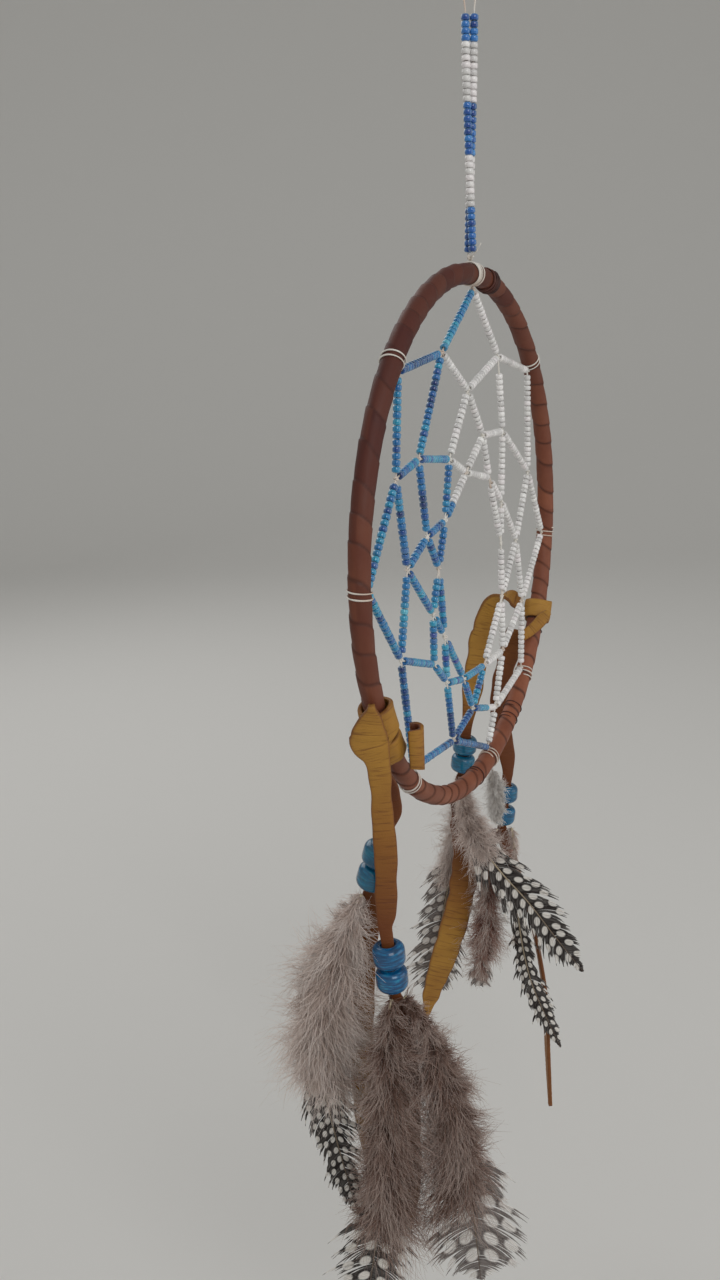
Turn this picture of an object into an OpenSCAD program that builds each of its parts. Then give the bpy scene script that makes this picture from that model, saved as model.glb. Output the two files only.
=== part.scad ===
// Dream catcher: a leather-wrapped hoop with a beaded web, hung from a beaded loop, with two
// leather thongs knotted on it that carry glass beads and guinea-fowl feathers.
// Units are millimetres. The origin is the seat of the hanging loop on its hook, +Z is up, the
// hoop hangs in the XZ plane and its front looks along -Y.

/* [Hoop] */
// Radius of the middle of the hoop's tube
hoop_r = 75; // [74:0.5:77]
// Diameter of the steel ring inside the wrap
ring_d = 3; // [2:0.5:4]
// Diameter over the leather wrap
wrap_d = 5.8; // [5.4:0.1:6]
// Drop from the hook to the middle of the hoop
drop = 150; // [149:0.5:155]

/* [Seed beads] */
// Diameter of a seed bead
seed_d = 2.2; // [1.8:0.1:2.2]
// Length of a seed bead along its thread
seed_len = 1.5; // [1.2:0.1:1.5]
// Distance from one seed bead to the next
seed_pitch = 1.65; // [1.6:0.05:1.9]
// Diameter of a seed bead's hole
seed_hole = 0.8; // [0.7:0.05:0.9]
// Diameter of the web's thread
thread_d = 0.5; // [0.4:0.05:0.6]

/* [Hanging loop] */
// Half the distance between the loop's two strands
pair_r = 1.2; // [1.2:0.05:1.4]
// Turn of the pair of strands from the hoop up to the hook, in degrees
pair_turn = -125; // [-140:5:-90]
// Radius of the bend that sits on the hook
bend_r = 2; // [1.6:0.1:2.4]

/* [Crow beads] */
// Diameter of a crow bead
crow_d = 9; // [8:0.1:9.2]
// Length of a crow bead
crow_len = 6.8; // [6:0.1:7]
// Diameter of a crow bead's hole
crow_hole = 4; // [3.9:0.1:4.4]

/* [Leather] */
// Thickness of the thong leather
thong_t = 1.6; // [1.2:0.1:1.6]
// Width of the thong where it runs through a bead
thong_neck = 3; // [2.4:0.1:3]
// Wall of the thong where it is knotted round the hoop
band_wall = 1.3; // [1:0.1:1.5]

/* [Hidden] */

wrap_r = wrap_d / 2;
thread_r = thread_d / 2;
knot_r = thread_r + 0.2;
hoop_z = -drop;
loop_foot = hoop_z + hoop_r;

// Colours
blue = [0.05, 0.30, 0.62];
turquoise = [0.08, 0.50, 0.66];
pearl = [0.88, 0.86, 0.83];
thread_tan = [0.80, 0.74, 0.66];
leather_red = [0.36, 0.18, 0.12];
leather_tan = [0.66, 0.44, 0.17];
glass_blue = [0.07, 0.45, 0.62];
down_grey = [0.48, 0.41, 0.37];
feather_dark = [0.13, 0.10, 0.09];
feather_grey = [0.58, 0.56, 0.54];

// ---- Web: points [x, z] from the hoop's middle, ring by ring, from the top round the left side
ties = [[2, 71], [-50.6, 49.7], [-71, -1], [-45, -55], [14.9, -69.4], [48.7, -51.7], [70.5, -7.9],
        [52.6, 47.7]];
web_a = [[-22, 54], [-53, 24], [-52, -23], [-15.5, -57], [22, -58], [49, -28], [54, 15], [23.5, 52.5]];
web_b = [[-38.5, 27.5], [-47, 0], [-29.5, -30], [-20, -38], [1, -52], [29, -40.5], [42, -6],
          [28, 30], [-2.5, 43.5]];
web_c = [[-33.5, 6.5], [-30, -15.5], [-6.5, -40.5], [11.5, -41], [28, -22.5], [27, 8.5],
          [10, 30], [-17, 25.5]];
web_d = [[-25.5, -3.5], [-21.5, -24], [27, -5], [15.5, 17], [-4, 20.5], [-20.5, 9]];

// Strands along a path of points: [start, end, share of blue beads, bare length at the end]
function strands(points, share) =
    [for (i = [0:len(points) - 2]) [points[i], points[i + 1], share, 0]];
// Two lists taken in turn, from item i up to item j
function zigzag(p, q, i, j) = [for (k = [i:j]) each [p[k], q[k]]];

rounds = [
    concat(strands(concat(zigzag(ties, web_a, 0, 3), [ties[4]]), 1),
           strands(concat(zigzag(ties, web_a, 4, 7), [ties[0]]), 0)),
    concat(strands(concat(zigzag(web_a, web_b, 0, 1), [web_a[2], web_b[2], web_b[3], web_a[3],
                   web_b[4]]), 1),
           [[web_b[4], web_a[4], 0.65, 0]],
           strands([web_a[4], web_b[5], web_a[5], web_b[6], web_a[6], web_b[7]], 0),
           [[web_b[7], web_a[7], 0, 5]],
           strands([web_a[7], web_b[8], web_a[0]], 0)),
    concat(strands([web_c[7], web_b[0], web_c[0], web_b[1], web_c[1], web_b[2]], 1),
           strands([web_b[3], web_c[2], web_b[4], web_c[3]], 1),
           strands([web_c[3], web_b[5], web_c[4], web_b[6], web_c[5], web_b[7], web_c[6],
                    web_b[8], web_c[7]], 0)),
    concat(strands([web_c[7], web_d[5], web_c[0], web_d[0], web_c[1], web_d[1], web_b[3]], 1),
           strands([web_c[2], web_c[3]], 1),
           strands([web_c[3], web_c[4], web_d[2], web_c[5], web_d[3], web_c[6], web_d[4],
                    web_c[7]], 0)),
    concat(strands([web_d[5], web_d[0], web_d[1], web_c[2]], 1),
           [[web_d[5], web_d[4], 0.35, 0]],
           strands([web_d[2], web_d[3], web_d[4]], 0))
];
all_strands = [for (r = rounds) each r];
web_points = concat(ties, web_a, web_b, web_c, web_d);

// Angle between two strands that leave one point
function opening(p, q, r) = acos(max(-1, min(1, (q - p) * (r - p) / norm(q - p) / norm(r - p))));
// The other end of a strand that has an end at p
function far_end(s, p) = s[0] == p ? s[1] : s[0];
// How far from its end p a strand's first bead starts, so that the beads of the strands that
// meet there stay clear of each other
function inset(p, q) = max([for (s = all_strands)
    if ((s[0] == p || s[1] == p) && far_end(s, p) != q)
        min(7, (seed_d + 0.12) / 2 / sin(min(90, opening(p, q, far_end(s, p)) / 2)))
        - (opening(p, q, far_end(s, p)) > 90 ? 0.3 : 0)]) + 0.1;

// ---- Thongs: [x, y, z, half width, direction of the width in degrees from +X]
// Points are from the hoop's middle, from the knot down. A thong runs through its beads between
// the two lists.
face_turn = -64;
left_front_top = [[-72, 0, -37.4, 4.7], [-71.6, 0.3, -38.4, 4.9], [-70.7, 0, -40.6, 4.4],
                  [-69.1, -0.6, -44, 3.4], [-67.8, -0.7, -49.5, 2.9], [-66.3, -0.4, -60, 2.8],
                  [-65.3, -0.6, -72, 3], [-64.8, -0.2, -82, 2.9], [-64.5, 0, -88.5, 2.8]];
left_front_end = [[-62.9, -1.3, -114, 1.6], [-60.6, -1.5, -121, 3], [-58.4, -1.5, -132, 3.6],
                  [-57, -1.5, -150, 3.8], [-56.5, -1.5, -170, 3.6], [-56.5, -1.2, -184, 3],
                  [-57, -1, -195, 0.8]];
left_back_top = [[-65.6, 1.2, -46.9, 2.2], [-63.4, 1.4, -51, 3.1], [-60.8, 0.8, -57, 3.5],
                 [-58.2, 0.6, -62.5, 2.6]];
left_back_end = [[-57.2, 8.5, -88, 1.6], [-56, 9.5, -94, 3], [-54.5, 12, -108, 3.6],
                 [-54, 13.5, -126, 3.6], [-54.5, 13.5, -146, 3.6], [-56, 11.5, -165, 3.2],
                 [-57.5, 9, -184, 0.8]];
right_front_top = [[62.6, 6.5, -42, 3.2], [62.4, 9.5, -53, 3.4], [62, 12, -66, 3.5], [62, 11.5, -78, 3.4],
                   [62, 9.4, -89, 3]];
right_front_end = [[62.3, 11.3, -118.6, 1.6, -64], [65.2, 10.8, -126, 2.6, -30],
                   [68.6, 7, -140, 3.6, 10], [69.4, 2.6, -155, 4, 26], [69, -1.4, -171, 4, 26],
                   [68.4, -4.6, -190, 4, 26], [67.8, -6.2, -215, 3.4, 26], [67.2, -7.7, -237, 0.8, 26]];
right_back_top = [[60.9, 19.2, -45.4, 3.8, -60], [60.4, 20.6, -55, 3.7, -62], [60, 21.8, -64, 3.7, -64],
                  [59.5, 22.8, -72, 2.8, -64]];
right_back_end = [[58.9, 26.1, -99, 1.6, -64], [58, 26, -106, 3.4, -64], [57, 24.5, -117, 4.8, -64],
                  [56, 23.2, -130, 5, -64], [56, 25.7, -149, 5, -64], [56, 31.5, -171, 5, -64],
                  [56, 37.5, -190, 3.6, -64], [56, 41, -204, 0.8, -64]];
// The stiff arch of leather behind the right knot, and the peak of leather in front of the left one
right_arch_route = [[65.6, 5.4, -33.6, 4.4, 0], [63.8, 9.2, -30.4, 4.4, -15], [62.4, 13.2, -31.2, 4.2, -35],
                    [61.6, 16.6, -36.6, 4, -50], [61.1, 18.4, -43.8, 3.8, -58]];
left_cape_route = [[-75, -2.3, -28, 0.8], [-74.6, -2.1, -29.3, 1.2], [-73.9, -1.6, -31.3, 2.5],
                   [-73.2, -0.9, -33.7, 3.5], [-72.6, -0.3, -35.9, 4.4]];
// The end of the right strap, folded under across the front of its band
right_fold_route = [[61.5, -5.7, -34.4, 1.2], [60.3, -4.3, -36.2, 2], [58.6, -2.7, -38.4, 2.1],
                    [56.7, -0.3, -40.8, 1.9], [54.6, 2.6, -43.2, 1.3]];
// The tuft of down that hangs from the lowest tie of the web
tuft_rows = [[17, -1, -78, 0.8, 0.6], [17.6, -1.4, -82.5, 2.8, 2], [18, -1.8, -88.5, 3.2, 2.2],
             [18, -2, -95.5, 1, 0.6]];
// The roll of leather that stands out of the left knot: its top, its foot and its radii
left_bight_ends = [[-60.4, -7, -37.6], [-59.6, -7, -49]];
left_bight_r = [2.3, 1.1];

// ---- Crow beads: [top of the upper bead, direction down, gap between the two beads]
left_front_beads = [[-64.1, 0.1, -98], [0.06, -0.08, -1], 0.3];
left_back_beads = [[-57.5, 4.1, -72.7], [0, 0.29, -1], 0.3];
right_front_beads = [[62, 9.4, -101], [0, 0.09, -1], 2.1];
right_back_beads = [[59, 24.2, -83.3], [0, 0.12, -1], 0.3];

// ---- Feathers: [x, y, z, half width, half depth], from the quill down to the tip
left_front_dark = [[-65.6, -1.4, -113.6, 0.8, 0.6], [-67.2, -1, -118, 3.5, 2.2],
                   [-69.5, -0.8, -126, 5.5, 3.6], [-71, -0.5, -138, 6.5, 4.2],
                   [-71.5, 0, -152, 7, 4], [-71, 0.5, -166, 8.5, 3], [-70, 2, -182, 10, 1.6],
                   [-69, 5, -200, 9, 1], [-67.5, 8, -215, 1.2, 0.5]];
left_front_grey = [[-62.8, -4, -113.8, 0.8, 0.6], [-61.8, -8, -119, 3, 2.2],
                   [-60, -11.5, -128, 5.5, 3.4], [-58, -14.5, -139, 7.5, 4],
                   [-56.5, -17, -151, 9, 4], [-55.5, -18.5, -164, 10.5, 3],
                   [-55, -20, -178, 11.5, 1.6], [-55, -21.5, -192, 11, 1],
                   [-55, -23, -207, 1.5, 0.5]];
left_back_rows = [[-59.6, 9.6, -87.8, 0.8, 0.6], [-61.4, 11.5, -92, 3.5, 2.2], [-63.5, 15, -101, 7, 4],
                  [-65, 19.5, -114, 10, 5], [-65, 22, -130, 10.5, 5], [-64.5, 21.5, -146, 8.5, 4],
                  [-63.5, 19, -162, 6.5, 2.4], [-62.5, 16, -177, 4.5, 1.2], [-61.5, 12.5, -193, 1, 0.5]];
right_front_down = [[60, 12.4, -118.6, 0.8, 0.6], [57.6, 13.2, -123, 2.6, 2],
                    [56.2, 13.6, -132, 4, 3], [56.4, 14, -145, 5.5, 3.6],
                    [56.6, 15.5, -160, 6, 3.2], [56.8, 17, -173, 5, 2], [57, 18, -185, 1.2, 0.6]];
right_front_narrow = [[63, 7.6, -118.8, 0.8, 0.6], [61.6, 6, -126, 2.2, 1.5], [60.6, 5, -138, 3, 1.8],
                      [60.4, 4, -152, 3.6, 1.8], [60.4, 2, -166, 4.4, 1.6], [60.4, -1.6, -180, 4.6, 1.2],
                      [60.4, -7.4, -193, 3.4, 0.9], [60.4, -14, -206, 1, 0.5]];
right_back_spotted = [[56.9, 25.4, -98.9, 0.8, 0.6], [54, 24, -103.5, 3, 2.2], [50.5, 20, -113, 6.5, 3.2],
                      [48, 14, -121, 8, 2.6], [47.5, 6, -130, 8.5, 1.8], [47.5, -4, -139.5, 7.5, 1.2],
                      [47.5, -15, -152, 5, 0.9], [47.5, -25.5, -163.5, 1, 0.5]];
right_back_grey = [[61, 26.6, -98.9, 0.8, 0.6], [63, 27.4, -103.5, 3, 2], [64, 28, -113, 6, 3],
                   [64, 30, -128, 8, 3], [64, 33, -145, 9, 2.4], [64, 36.5, -163, 10, 1.6],
                   [64, 39, -182, 9, 1], [64, 41.5, -203, 1.2, 0.5]];

// ---- Geometry
function unit(v) = v / norm(v);
function mix(p, q, t) = p + (q - p) * t;
function place(row) = [row[0], row[1], row[2]];
function heading(rows, i) =
    unit(place(rows[min(i + 1, len(rows) - 1)]) - place(rows[max(i - 1, 0)]));

// A flat strip's outline with eased corners, and an oval outline, both anticlockwise
function strip_outline(a, b) =
    [[a, -b / 2], [a, b / 2], [a - b / 2, b], [b / 2 - a, b], [-a, b / 2], [-a, -b / 2], [b / 2 - a, -b],
     [a - b / 2, -b]];
function oval_outline(a, b) = [for (k = [0:11]) [a * cos(30 * k), b * sin(30 * k)]];

// One outline set square to a route, with its width along the turn from +X
function ring_of(centre, along, turn, outline) =
    let (out = unit(cross(along, [cos(turn), sin(turn), 0])), across = cross(out, along))
    [for (s = outline) centre + across * s[0] + out * s[1]];

// A closed solid through a list of rings that all have the same number of points
module skin(rings) {
    n = len(rings[0]);
    last = (len(rings) - 1) * n;
    sides = [for (i = [0:len(rings) - 2], k = [0:n - 1])
        let (a = i * n + k, b = i * n + (k + 1) % n)
        each [[a, b + n, b], [a, a + n, b + n]]];
    polyhedron(
        points = [for (r = rings) each r],
        faces = concat([[for (k = [0:n - 1]) k]], sides, [[for (k = [n - 1:-1:0]) last + k]]));
}

// The rows of a strip where it runs through its beads, from above the upper bead to below the lower
function neck_rows(beads) =
    let (down = unit(beads[1]), long = 2 * crow_len + beads[2])
    [for (d = [-5.2, long + 0.6])
        let (p = beads[0] + down * d) [p[0], p[1], p[2], thong_neck / 2]];

module strip(rows, turn) {
    skin([for (i = [0:len(rows) - 1])
        ring_of(place(rows[i]), heading(rows, i), is_undef(rows[i][4]) ? turn : rows[i][4],
                strip_outline(rows[i][3], thong_t / 2))]);
}

module thong(top, beads, end, turn) {
    translate([0, 0, hoop_z]) strip(concat(top, neck_rows(beads), end), turn);
}

module feather(rows) {
    translate([0, 0, hoop_z])
        skin([for (i = [0:len(rows) - 1])
            ring_of(place(rows[i]), heading(rows, i), face_turn, oval_outline(rows[i][3], rows[i][4]))]);
}

// Moves its children to p with their +Z along v
module along(p, v) {
    translate(p) rotate([0, acos(v[2] / norm(v)), atan2(v[1], v[0])]) children();
}

// A ring with flat ends round the Z axis
module collar(outer, inner, long) {
    difference() {
        cylinder(r = outer, h = long, center = true, $fn = 48);
        cylinder(r = inner, h = long + 1, center = true, $fn = 48);
    }
}

// Moves its children onto the hoop's tube, with +Z along the tube, at an angle from +X
module on_hoop(angle) {
    translate([0, 0, hoop_z]) rotate([0, -angle, 0]) translate([hoop_r, 0, 0]) children();
}

module seed_bead() {
    difference() {
        cylinder(d = seed_d, h = seed_len, center = true, $fn = 32);
        cylinder(d = seed_hole, h = seed_len + 1, center = true, $fn = 32);
    }
}

// Corner arc of a bead's outline, about a centre, from one angle to another
function corner(x, z, r, from, to) =
    [for (k = [0:4]) let (a = mix(from, to, k / 4)) [x + r * cos(a), z + r * sin(a)]];

module crow_bead(beads, index) {
    down = unit(beads[1]);
    middle = beads[0] + down * (crow_len / 2 + index * (crow_len + beads[2]));
    outer = crow_d / 2 - 1.6;
    inner = crow_hole / 2 + 0.5;
    half = crow_len / 2;
    along(middle + [0, 0, hoop_z], down)
        rotate_extrude($fn = 64) polygon(concat(
            corner(inner, half - 0.5, 0.5, 90, 180), corner(inner, 0.5 - half, 0.5, 180, 270),
            corner(outer, 1.6 - half, 1.6, -90, 0), corner(outer, half - 1.6, 1.6, 0, 90)));
}

// The seed beads of one strand, blue or white
module strand_beads(s, want_blue) {
    step = (s[1] - s[0]) / norm(s[1] - s[0]);
    start = inset(s[0], s[1]);
    free = norm(s[1] - s[0]) - start - max(inset(s[1], s[0]), s[3]);
    count = max(1, floor((free + seed_pitch - seed_len) / seed_pitch));
    first = start + (free - count * seed_pitch) / 2;
    for (k = [0:count - 1])
        if (((k + 0.5) / count < s[2]) == want_blue) {
            p = s[0] + step * (first + (k + 0.5) * seed_pitch);
            along([p[0], 0, p[1] + hoop_z], [step[0], 0, step[1]]) seed_bead();
        }
}

// ---- Hanging loop. Height h is from the middle of the hoop's tube up to the bend.
bead_low = 5.7;
bead_high = 66;
bend_foot = drop - hoop_r - bend_r + thread_r;
function pair_angle(h) = 61 + pair_turn * h / 70;
function pair_radius(h) = h < bead_high ? pair_r
    : mix(pair_r, bend_r, min(1, (h - bead_high) / (bend_foot - bead_high)));
function strand_point(h, side) =
    [side * pair_radius(h) * cos(pair_angle(h)), side * pair_radius(h) * sin(pair_angle(h)), loop_foot + h];
function bend_point(a) =
    [bend_r * cos(a) * cos(pair_angle(bend_foot)), bend_r * cos(a) * sin(pair_angle(bend_foot)),
     loop_foot + bend_foot + bend_r * sin(a)];
loop_route = concat(
    [for (k = [0:16]) strand_point(mix(bead_low - 0.6, bend_foot, k / 16), 1)],
    [for (a = [30:30:150]) bend_point(a)],
    [for (k = [16:-1:0]) strand_point(mix(bead_low - 0.6, bend_foot, k / 16), -1)]);
// Heights at which the loop's colour changes, from blue at the foot
bands = [17.2, 30, 44.4, 58.7, 90];
function is_blue(h) = len([for (b = bands) if (h >= b) 1]) % 2 == 0;

module loop_beads(want_blue) {
    count = floor((bead_high - bead_low) / seed_pitch);
    for (side = [-1, 1], k = [0:count - 1]) {
        h = bead_low + (k + 0.5) * seed_pitch;
        if (is_blue(h) == want_blue) translate(strand_point(h, side)) seed_bead();
    }
}

module loop_thread() color(thread_tan)
    skin([for (i = [0:len(loop_route) - 1])
        ring_of(loop_route[i], heading(loop_route, i), pair_angle(bend_foot) + 90,
                [for (k = [0:7]) thread_r * [cos(45 * k), sin(45 * k)]])]);

module loop_blue_beads() color(blue) loop_beads(true);
module loop_white_beads() color(pearl) loop_beads(false);
module loop_knot() color(thread_tan) translate([0, 0, loop_foot + 4.35]) sphere(r = 0.7, $fn = 32);
module loop_tie() color(thread_tan) on_hoop(90.3) collar(wrap_r + 0.45, wrap_r + 0.05, 1.4);

// ---- Hoop and web
module hoop_ring() color([0.6, 0.6, 0.62])
    translate([0, 0, hoop_z]) rotate([90, 0, 0])
        rotate_extrude($fn = 128) translate([hoop_r, 0]) circle(d = ring_d - 0.1, $fn = 48);

module hoop_wrap() color(leather_red)
    translate([0, 0, hoop_z]) rotate([90, 0, 0]) difference() {
        rotate_extrude($fn = 128) translate([hoop_r, 0]) circle(d = wrap_d, $fn = 48);
        rotate_extrude($fn = 128) translate([hoop_r, 0]) circle(d = ring_d, $fn = 48);
    }

// Thread bound round the end of the leather wrap
module wrap_end_tie() color(thread_tan)
    for (k = [0:2]) on_hoop(81 - 1.5 * k) collar(wrap_r + 0.55, wrap_r + 0.05, 1.3);

module web_ties() color(thread_tan)
    for (p = ties) on_hoop(atan2(p[1], p[0])) collar(wrap_r + 0.45, wrap_r + 0.05, 1.1);

// Each strand of thread, from knot to knot
module web_thread() color(thread_tan)
    for (s = all_strands) {
        step = (s[1] - s[0]) / norm(s[1] - s[0]);
        start = s[0] + step * (knot_r + 0.02);
        along([start[0], 0, start[1] + hoop_z], [step[0], 0, step[1]])
            cylinder(r = thread_r, h = norm(s[1] - s[0]) - 2 * knot_r - 0.04, $fn = 24);
    }

module web_knots() color(thread_tan)
    for (p = web_points) translate([p[0], 0, p[1] + hoop_z]) sphere(r = knot_r, $fn = 24);

module web_tuft() color(pearl) feather(tuft_rows);

module web_beads(round_no, want_blue) {
    for (s = rounds[round_no - 1]) strand_beads(s, want_blue);
}
module web_blue_beads_1() color(turquoise) web_beads(1, true);
module web_blue_beads_2() color(turquoise) web_beads(2, true);
module web_blue_beads_3() color(turquoise) web_beads(3, true);
module web_blue_beads_4() color(turquoise) web_beads(4, true);
module web_blue_beads_5() color(turquoise) web_beads(5, true);
module web_white_beads_1() color(pearl) web_beads(1, false);
module web_white_beads_2() color(pearl) web_beads(2, false);
module web_white_beads_3() color(pearl) web_beads(3, false);
module web_white_beads_4() color(pearl) web_beads(4, false);
module web_white_beads_5() color(pearl) web_beads(5, false);

// ---- Knots on the hoop
module band(angle, long) { on_hoop(angle) collar(wrap_r + band_wall, wrap_r + 0.2, long); }
module left_front_band() color(leather_tan) band(207, 8);
module left_back_band() color(leather_tan) band(214.4, 8);
module right_band() color(leather_tan) band(-28, 9);
module left_cape() color(leather_tan) translate([0, 0, hoop_z]) strip(left_cape_route, face_turn);
module left_bight() color(leather_tan)
    translate([0, 0, hoop_z])
        along(mix(left_bight_ends[0], left_bight_ends[1], 0.5), left_bight_ends[1] - left_bight_ends[0])
            collar(left_bight_r[0], left_bight_r[1], norm(left_bight_ends[1] - left_bight_ends[0]));
module right_fold() color(leather_tan) translate([0, 0, hoop_z]) strip(right_fold_route, face_turn);
module right_arch() color(leather_tan) translate([0, 0, hoop_z]) strip(right_arch_route, 0);

// ---- Tails
module left_front_thong() color(leather_tan)
    thong(left_front_top, left_front_beads, left_front_end, face_turn);
module left_back_thong() color(leather_tan)
    thong(left_back_top, left_back_beads, left_back_end, face_turn);
module right_front_thong() color(leather_tan)
    thong(right_front_top, right_front_beads, right_front_end, face_turn);
module right_back_thong() color(leather_tan)
    thong(right_back_top, right_back_beads, right_back_end, face_turn);

module left_front_upper_bead() color(glass_blue) crow_bead(left_front_beads, 0);
module left_front_lower_bead() color(glass_blue) crow_bead(left_front_beads, 1);
module left_back_upper_bead() color(glass_blue) crow_bead(left_back_beads, 0);
module left_back_lower_bead() color(glass_blue) crow_bead(left_back_beads, 1);
module right_front_upper_bead() color(glass_blue) crow_bead(right_front_beads, 0);
module right_front_lower_bead() color(glass_blue) crow_bead(right_front_beads, 1);
module right_back_upper_bead() color(glass_blue) crow_bead(right_back_beads, 0);
module right_back_lower_bead() color(glass_blue) crow_bead(right_back_beads, 1);

module left_front_dark_feather() color(feather_dark) feather(left_front_dark);
module left_front_grey_feather() color(down_grey) feather(left_front_grey);
module left_back_feather() color(down_grey) feather(left_back_rows);
module right_front_down_feather() color(down_grey) feather(right_front_down);
module right_front_narrow_feather() color(feather_dark) feather(right_front_narrow);
module right_back_spotted_feather() color(feather_dark) feather(right_back_spotted);
module right_back_grey_feather() color(feather_grey) feather(right_back_grey);

loop_thread();
loop_blue_beads();
loop_white_beads();
loop_knot();
loop_tie();
hoop_ring();
hoop_wrap();
wrap_end_tie();
web_ties();
web_thread();
web_knots();
web_tuft();
web_blue_beads_1();
web_blue_beads_2();
web_blue_beads_3();
web_blue_beads_4();
web_blue_beads_5();
web_white_beads_1();
web_white_beads_2();
web_white_beads_3();
web_white_beads_4();
web_white_beads_5();
left_front_band();
left_back_band();
left_cape();
left_bight();
right_band();
right_fold();
right_arch();
left_front_thong();
left_front_upper_bead();
left_front_lower_bead();
left_front_dark_feather();
left_front_grey_feather();
left_back_thong();
left_back_upper_bead();
left_back_lower_bead();
left_back_feather();
right_front_thong();
right_front_upper_bead();
right_front_lower_bead();
right_front_down_feather();
right_front_narrow_feather();
right_back_thong();
right_back_upper_bead();
right_back_lower_bead();
right_back_spotted_feather();
right_back_grey_feather();
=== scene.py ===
import bpy
import numpy as np
from mathutils import Matrix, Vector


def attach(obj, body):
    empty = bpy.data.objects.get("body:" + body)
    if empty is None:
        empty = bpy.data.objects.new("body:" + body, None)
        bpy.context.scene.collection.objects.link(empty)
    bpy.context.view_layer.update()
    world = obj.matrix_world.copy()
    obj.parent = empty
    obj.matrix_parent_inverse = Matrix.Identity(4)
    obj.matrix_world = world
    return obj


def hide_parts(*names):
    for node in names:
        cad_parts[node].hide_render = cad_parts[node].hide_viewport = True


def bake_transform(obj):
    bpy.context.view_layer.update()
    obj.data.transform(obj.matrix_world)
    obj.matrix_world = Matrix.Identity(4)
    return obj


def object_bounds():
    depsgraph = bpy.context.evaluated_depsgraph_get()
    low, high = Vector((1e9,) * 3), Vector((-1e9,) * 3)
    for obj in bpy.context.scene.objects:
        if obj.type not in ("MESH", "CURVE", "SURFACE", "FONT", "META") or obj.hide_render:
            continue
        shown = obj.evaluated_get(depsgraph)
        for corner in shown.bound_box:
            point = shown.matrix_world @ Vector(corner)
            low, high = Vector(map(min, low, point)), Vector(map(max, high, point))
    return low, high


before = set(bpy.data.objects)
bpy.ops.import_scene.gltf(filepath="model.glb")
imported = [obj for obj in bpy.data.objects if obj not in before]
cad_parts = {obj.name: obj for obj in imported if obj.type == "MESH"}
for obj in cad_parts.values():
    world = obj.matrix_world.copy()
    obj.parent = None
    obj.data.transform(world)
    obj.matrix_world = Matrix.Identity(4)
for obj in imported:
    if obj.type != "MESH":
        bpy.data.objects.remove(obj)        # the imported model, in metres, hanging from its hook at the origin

cadBox = [list(corner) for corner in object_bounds()]
scene = bpy.context.scene
dice = np.random.default_rng(20)
hoopMiddle = np.array([0.0, 0.0, -0.150])
mm = 0.001

view = {
    "place": [-0.3027, -0.1127, -0.0968],
    "right": [0.4378, -0.8986, -0.0277],
    "up": [0.2349, 0.0847, 0.9683],
    "back": [-0.8678, -0.4305, 0.2482],
    "lens": 30.94,
}
studio = {
    "air": (0.43, 0.43, 0.42),
    "floorColour": (0.71, 0.70, 0.68, 1.0),
    "aim": [0.0, 0.0, -0.2],
    # name: place, size and power of each lamp
    "lamps": {"key": ([-0.75, -0.75, 0.45], 0.7, 4.6), "fill": ([0.3, -1.0, -0.1], 0.8, 1.6),
              "rim": ([0.5, 0.8, 0.5], 0.8, 3.0)},
    # the sweep behind the object, in metres
    "floorDrop": 0.05, "floorNear": -14.0, "floorFar": 1.5, "bend": 1.2, "wallHigh": 9.0,
    "halfWidth": 14.0,
}


def unit(vectors):
    # each vector over its own length
    return vectors / np.maximum(np.linalg.norm(vectors, axis=-1, keepdims=True), 1e-12)


def makeCamera():
    # the matrix rows are the camera's right, up and back, and its place
    camera = bpy.data.objects.new("camera", bpy.data.cameras.new("camera"))
    scene.collection.objects.link(camera)
    camera.data.lens, camera.data.sensor_width, camera.data.clip_start = view["lens"], 36.0, 0.01
    rows = zip(view["right"], view["up"], view["back"], view["place"])
    camera.matrix_world = Matrix([list(row) for row in rows] + [[0, 0, 0, 1]])
    scene.camera = camera


def makeLight(name, place, size, power):
    # a square soft lamp that looks at the object
    lamp = bpy.data.lights.new(name, "AREA")
    lamp.size, lamp.energy = size, power
    holder = bpy.data.objects.new(name, lamp)
    scene.collection.objects.link(holder)
    holder.location = place
    toward = Matrix.Translation(studio["aim"]).translation - Matrix.Translation(place).translation
    holder.rotation_euler = toward.to_track_quat("-Z", "Y").to_euler()


def makeFloor():
    # a floor that sweeps up behind the object: flat, a quarter circle, then a wall, drawn out sideways
    low, far, bend, half = (cadBox[0][2] - studio["floorDrop"], studio["floorFar"], studio["bend"],
                            studio["halfWidth"])
    turn = np.radians(np.linspace(0, 90, 25))
    reach = np.concatenate([[studio["floorNear"], 0.0], far + bend * np.sin(turn), [far + bend]])
    rise = low + np.concatenate([[0.0, 0.0], bend * (1 - np.cos(turn)), [studio["wallHigh"]]])
    away = unit(np.array([-view["back"][0], -view["back"][1], 0.0]))
    side = np.array([away[1], -away[0], 0.0])
    line = reach[:, None] * away + rise[:, None] * np.array([0.0, 0.0, 1.0])
    points = np.concatenate([line - half * side, line + half * side])
    a = np.arange(len(line) - 1)
    faces = np.stack([a, a + len(line), a + len(line) + 1, a + 1], 1)
    mesh = bpy.data.meshes.new("floor")
    mesh.from_pydata(points.tolist(), [], faces.tolist())
    mesh.polygons.foreach_set("use_smooth", np.ones(len(faces), bool))
    floor = bpy.data.objects.new("floor", mesh)
    scene.collection.objects.link(floor)
    plain = bpy.data.materials.new("paleFloor")
    plain.use_nodes = True
    plain.node_tree.nodes["Principled BSDF"].inputs["Base Color"].default_value = studio["floorColour"]
    plain.node_tree.nodes["Principled BSDF"].inputs["Roughness"].default_value = 0.9
    mesh.materials.append(plain)


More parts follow.
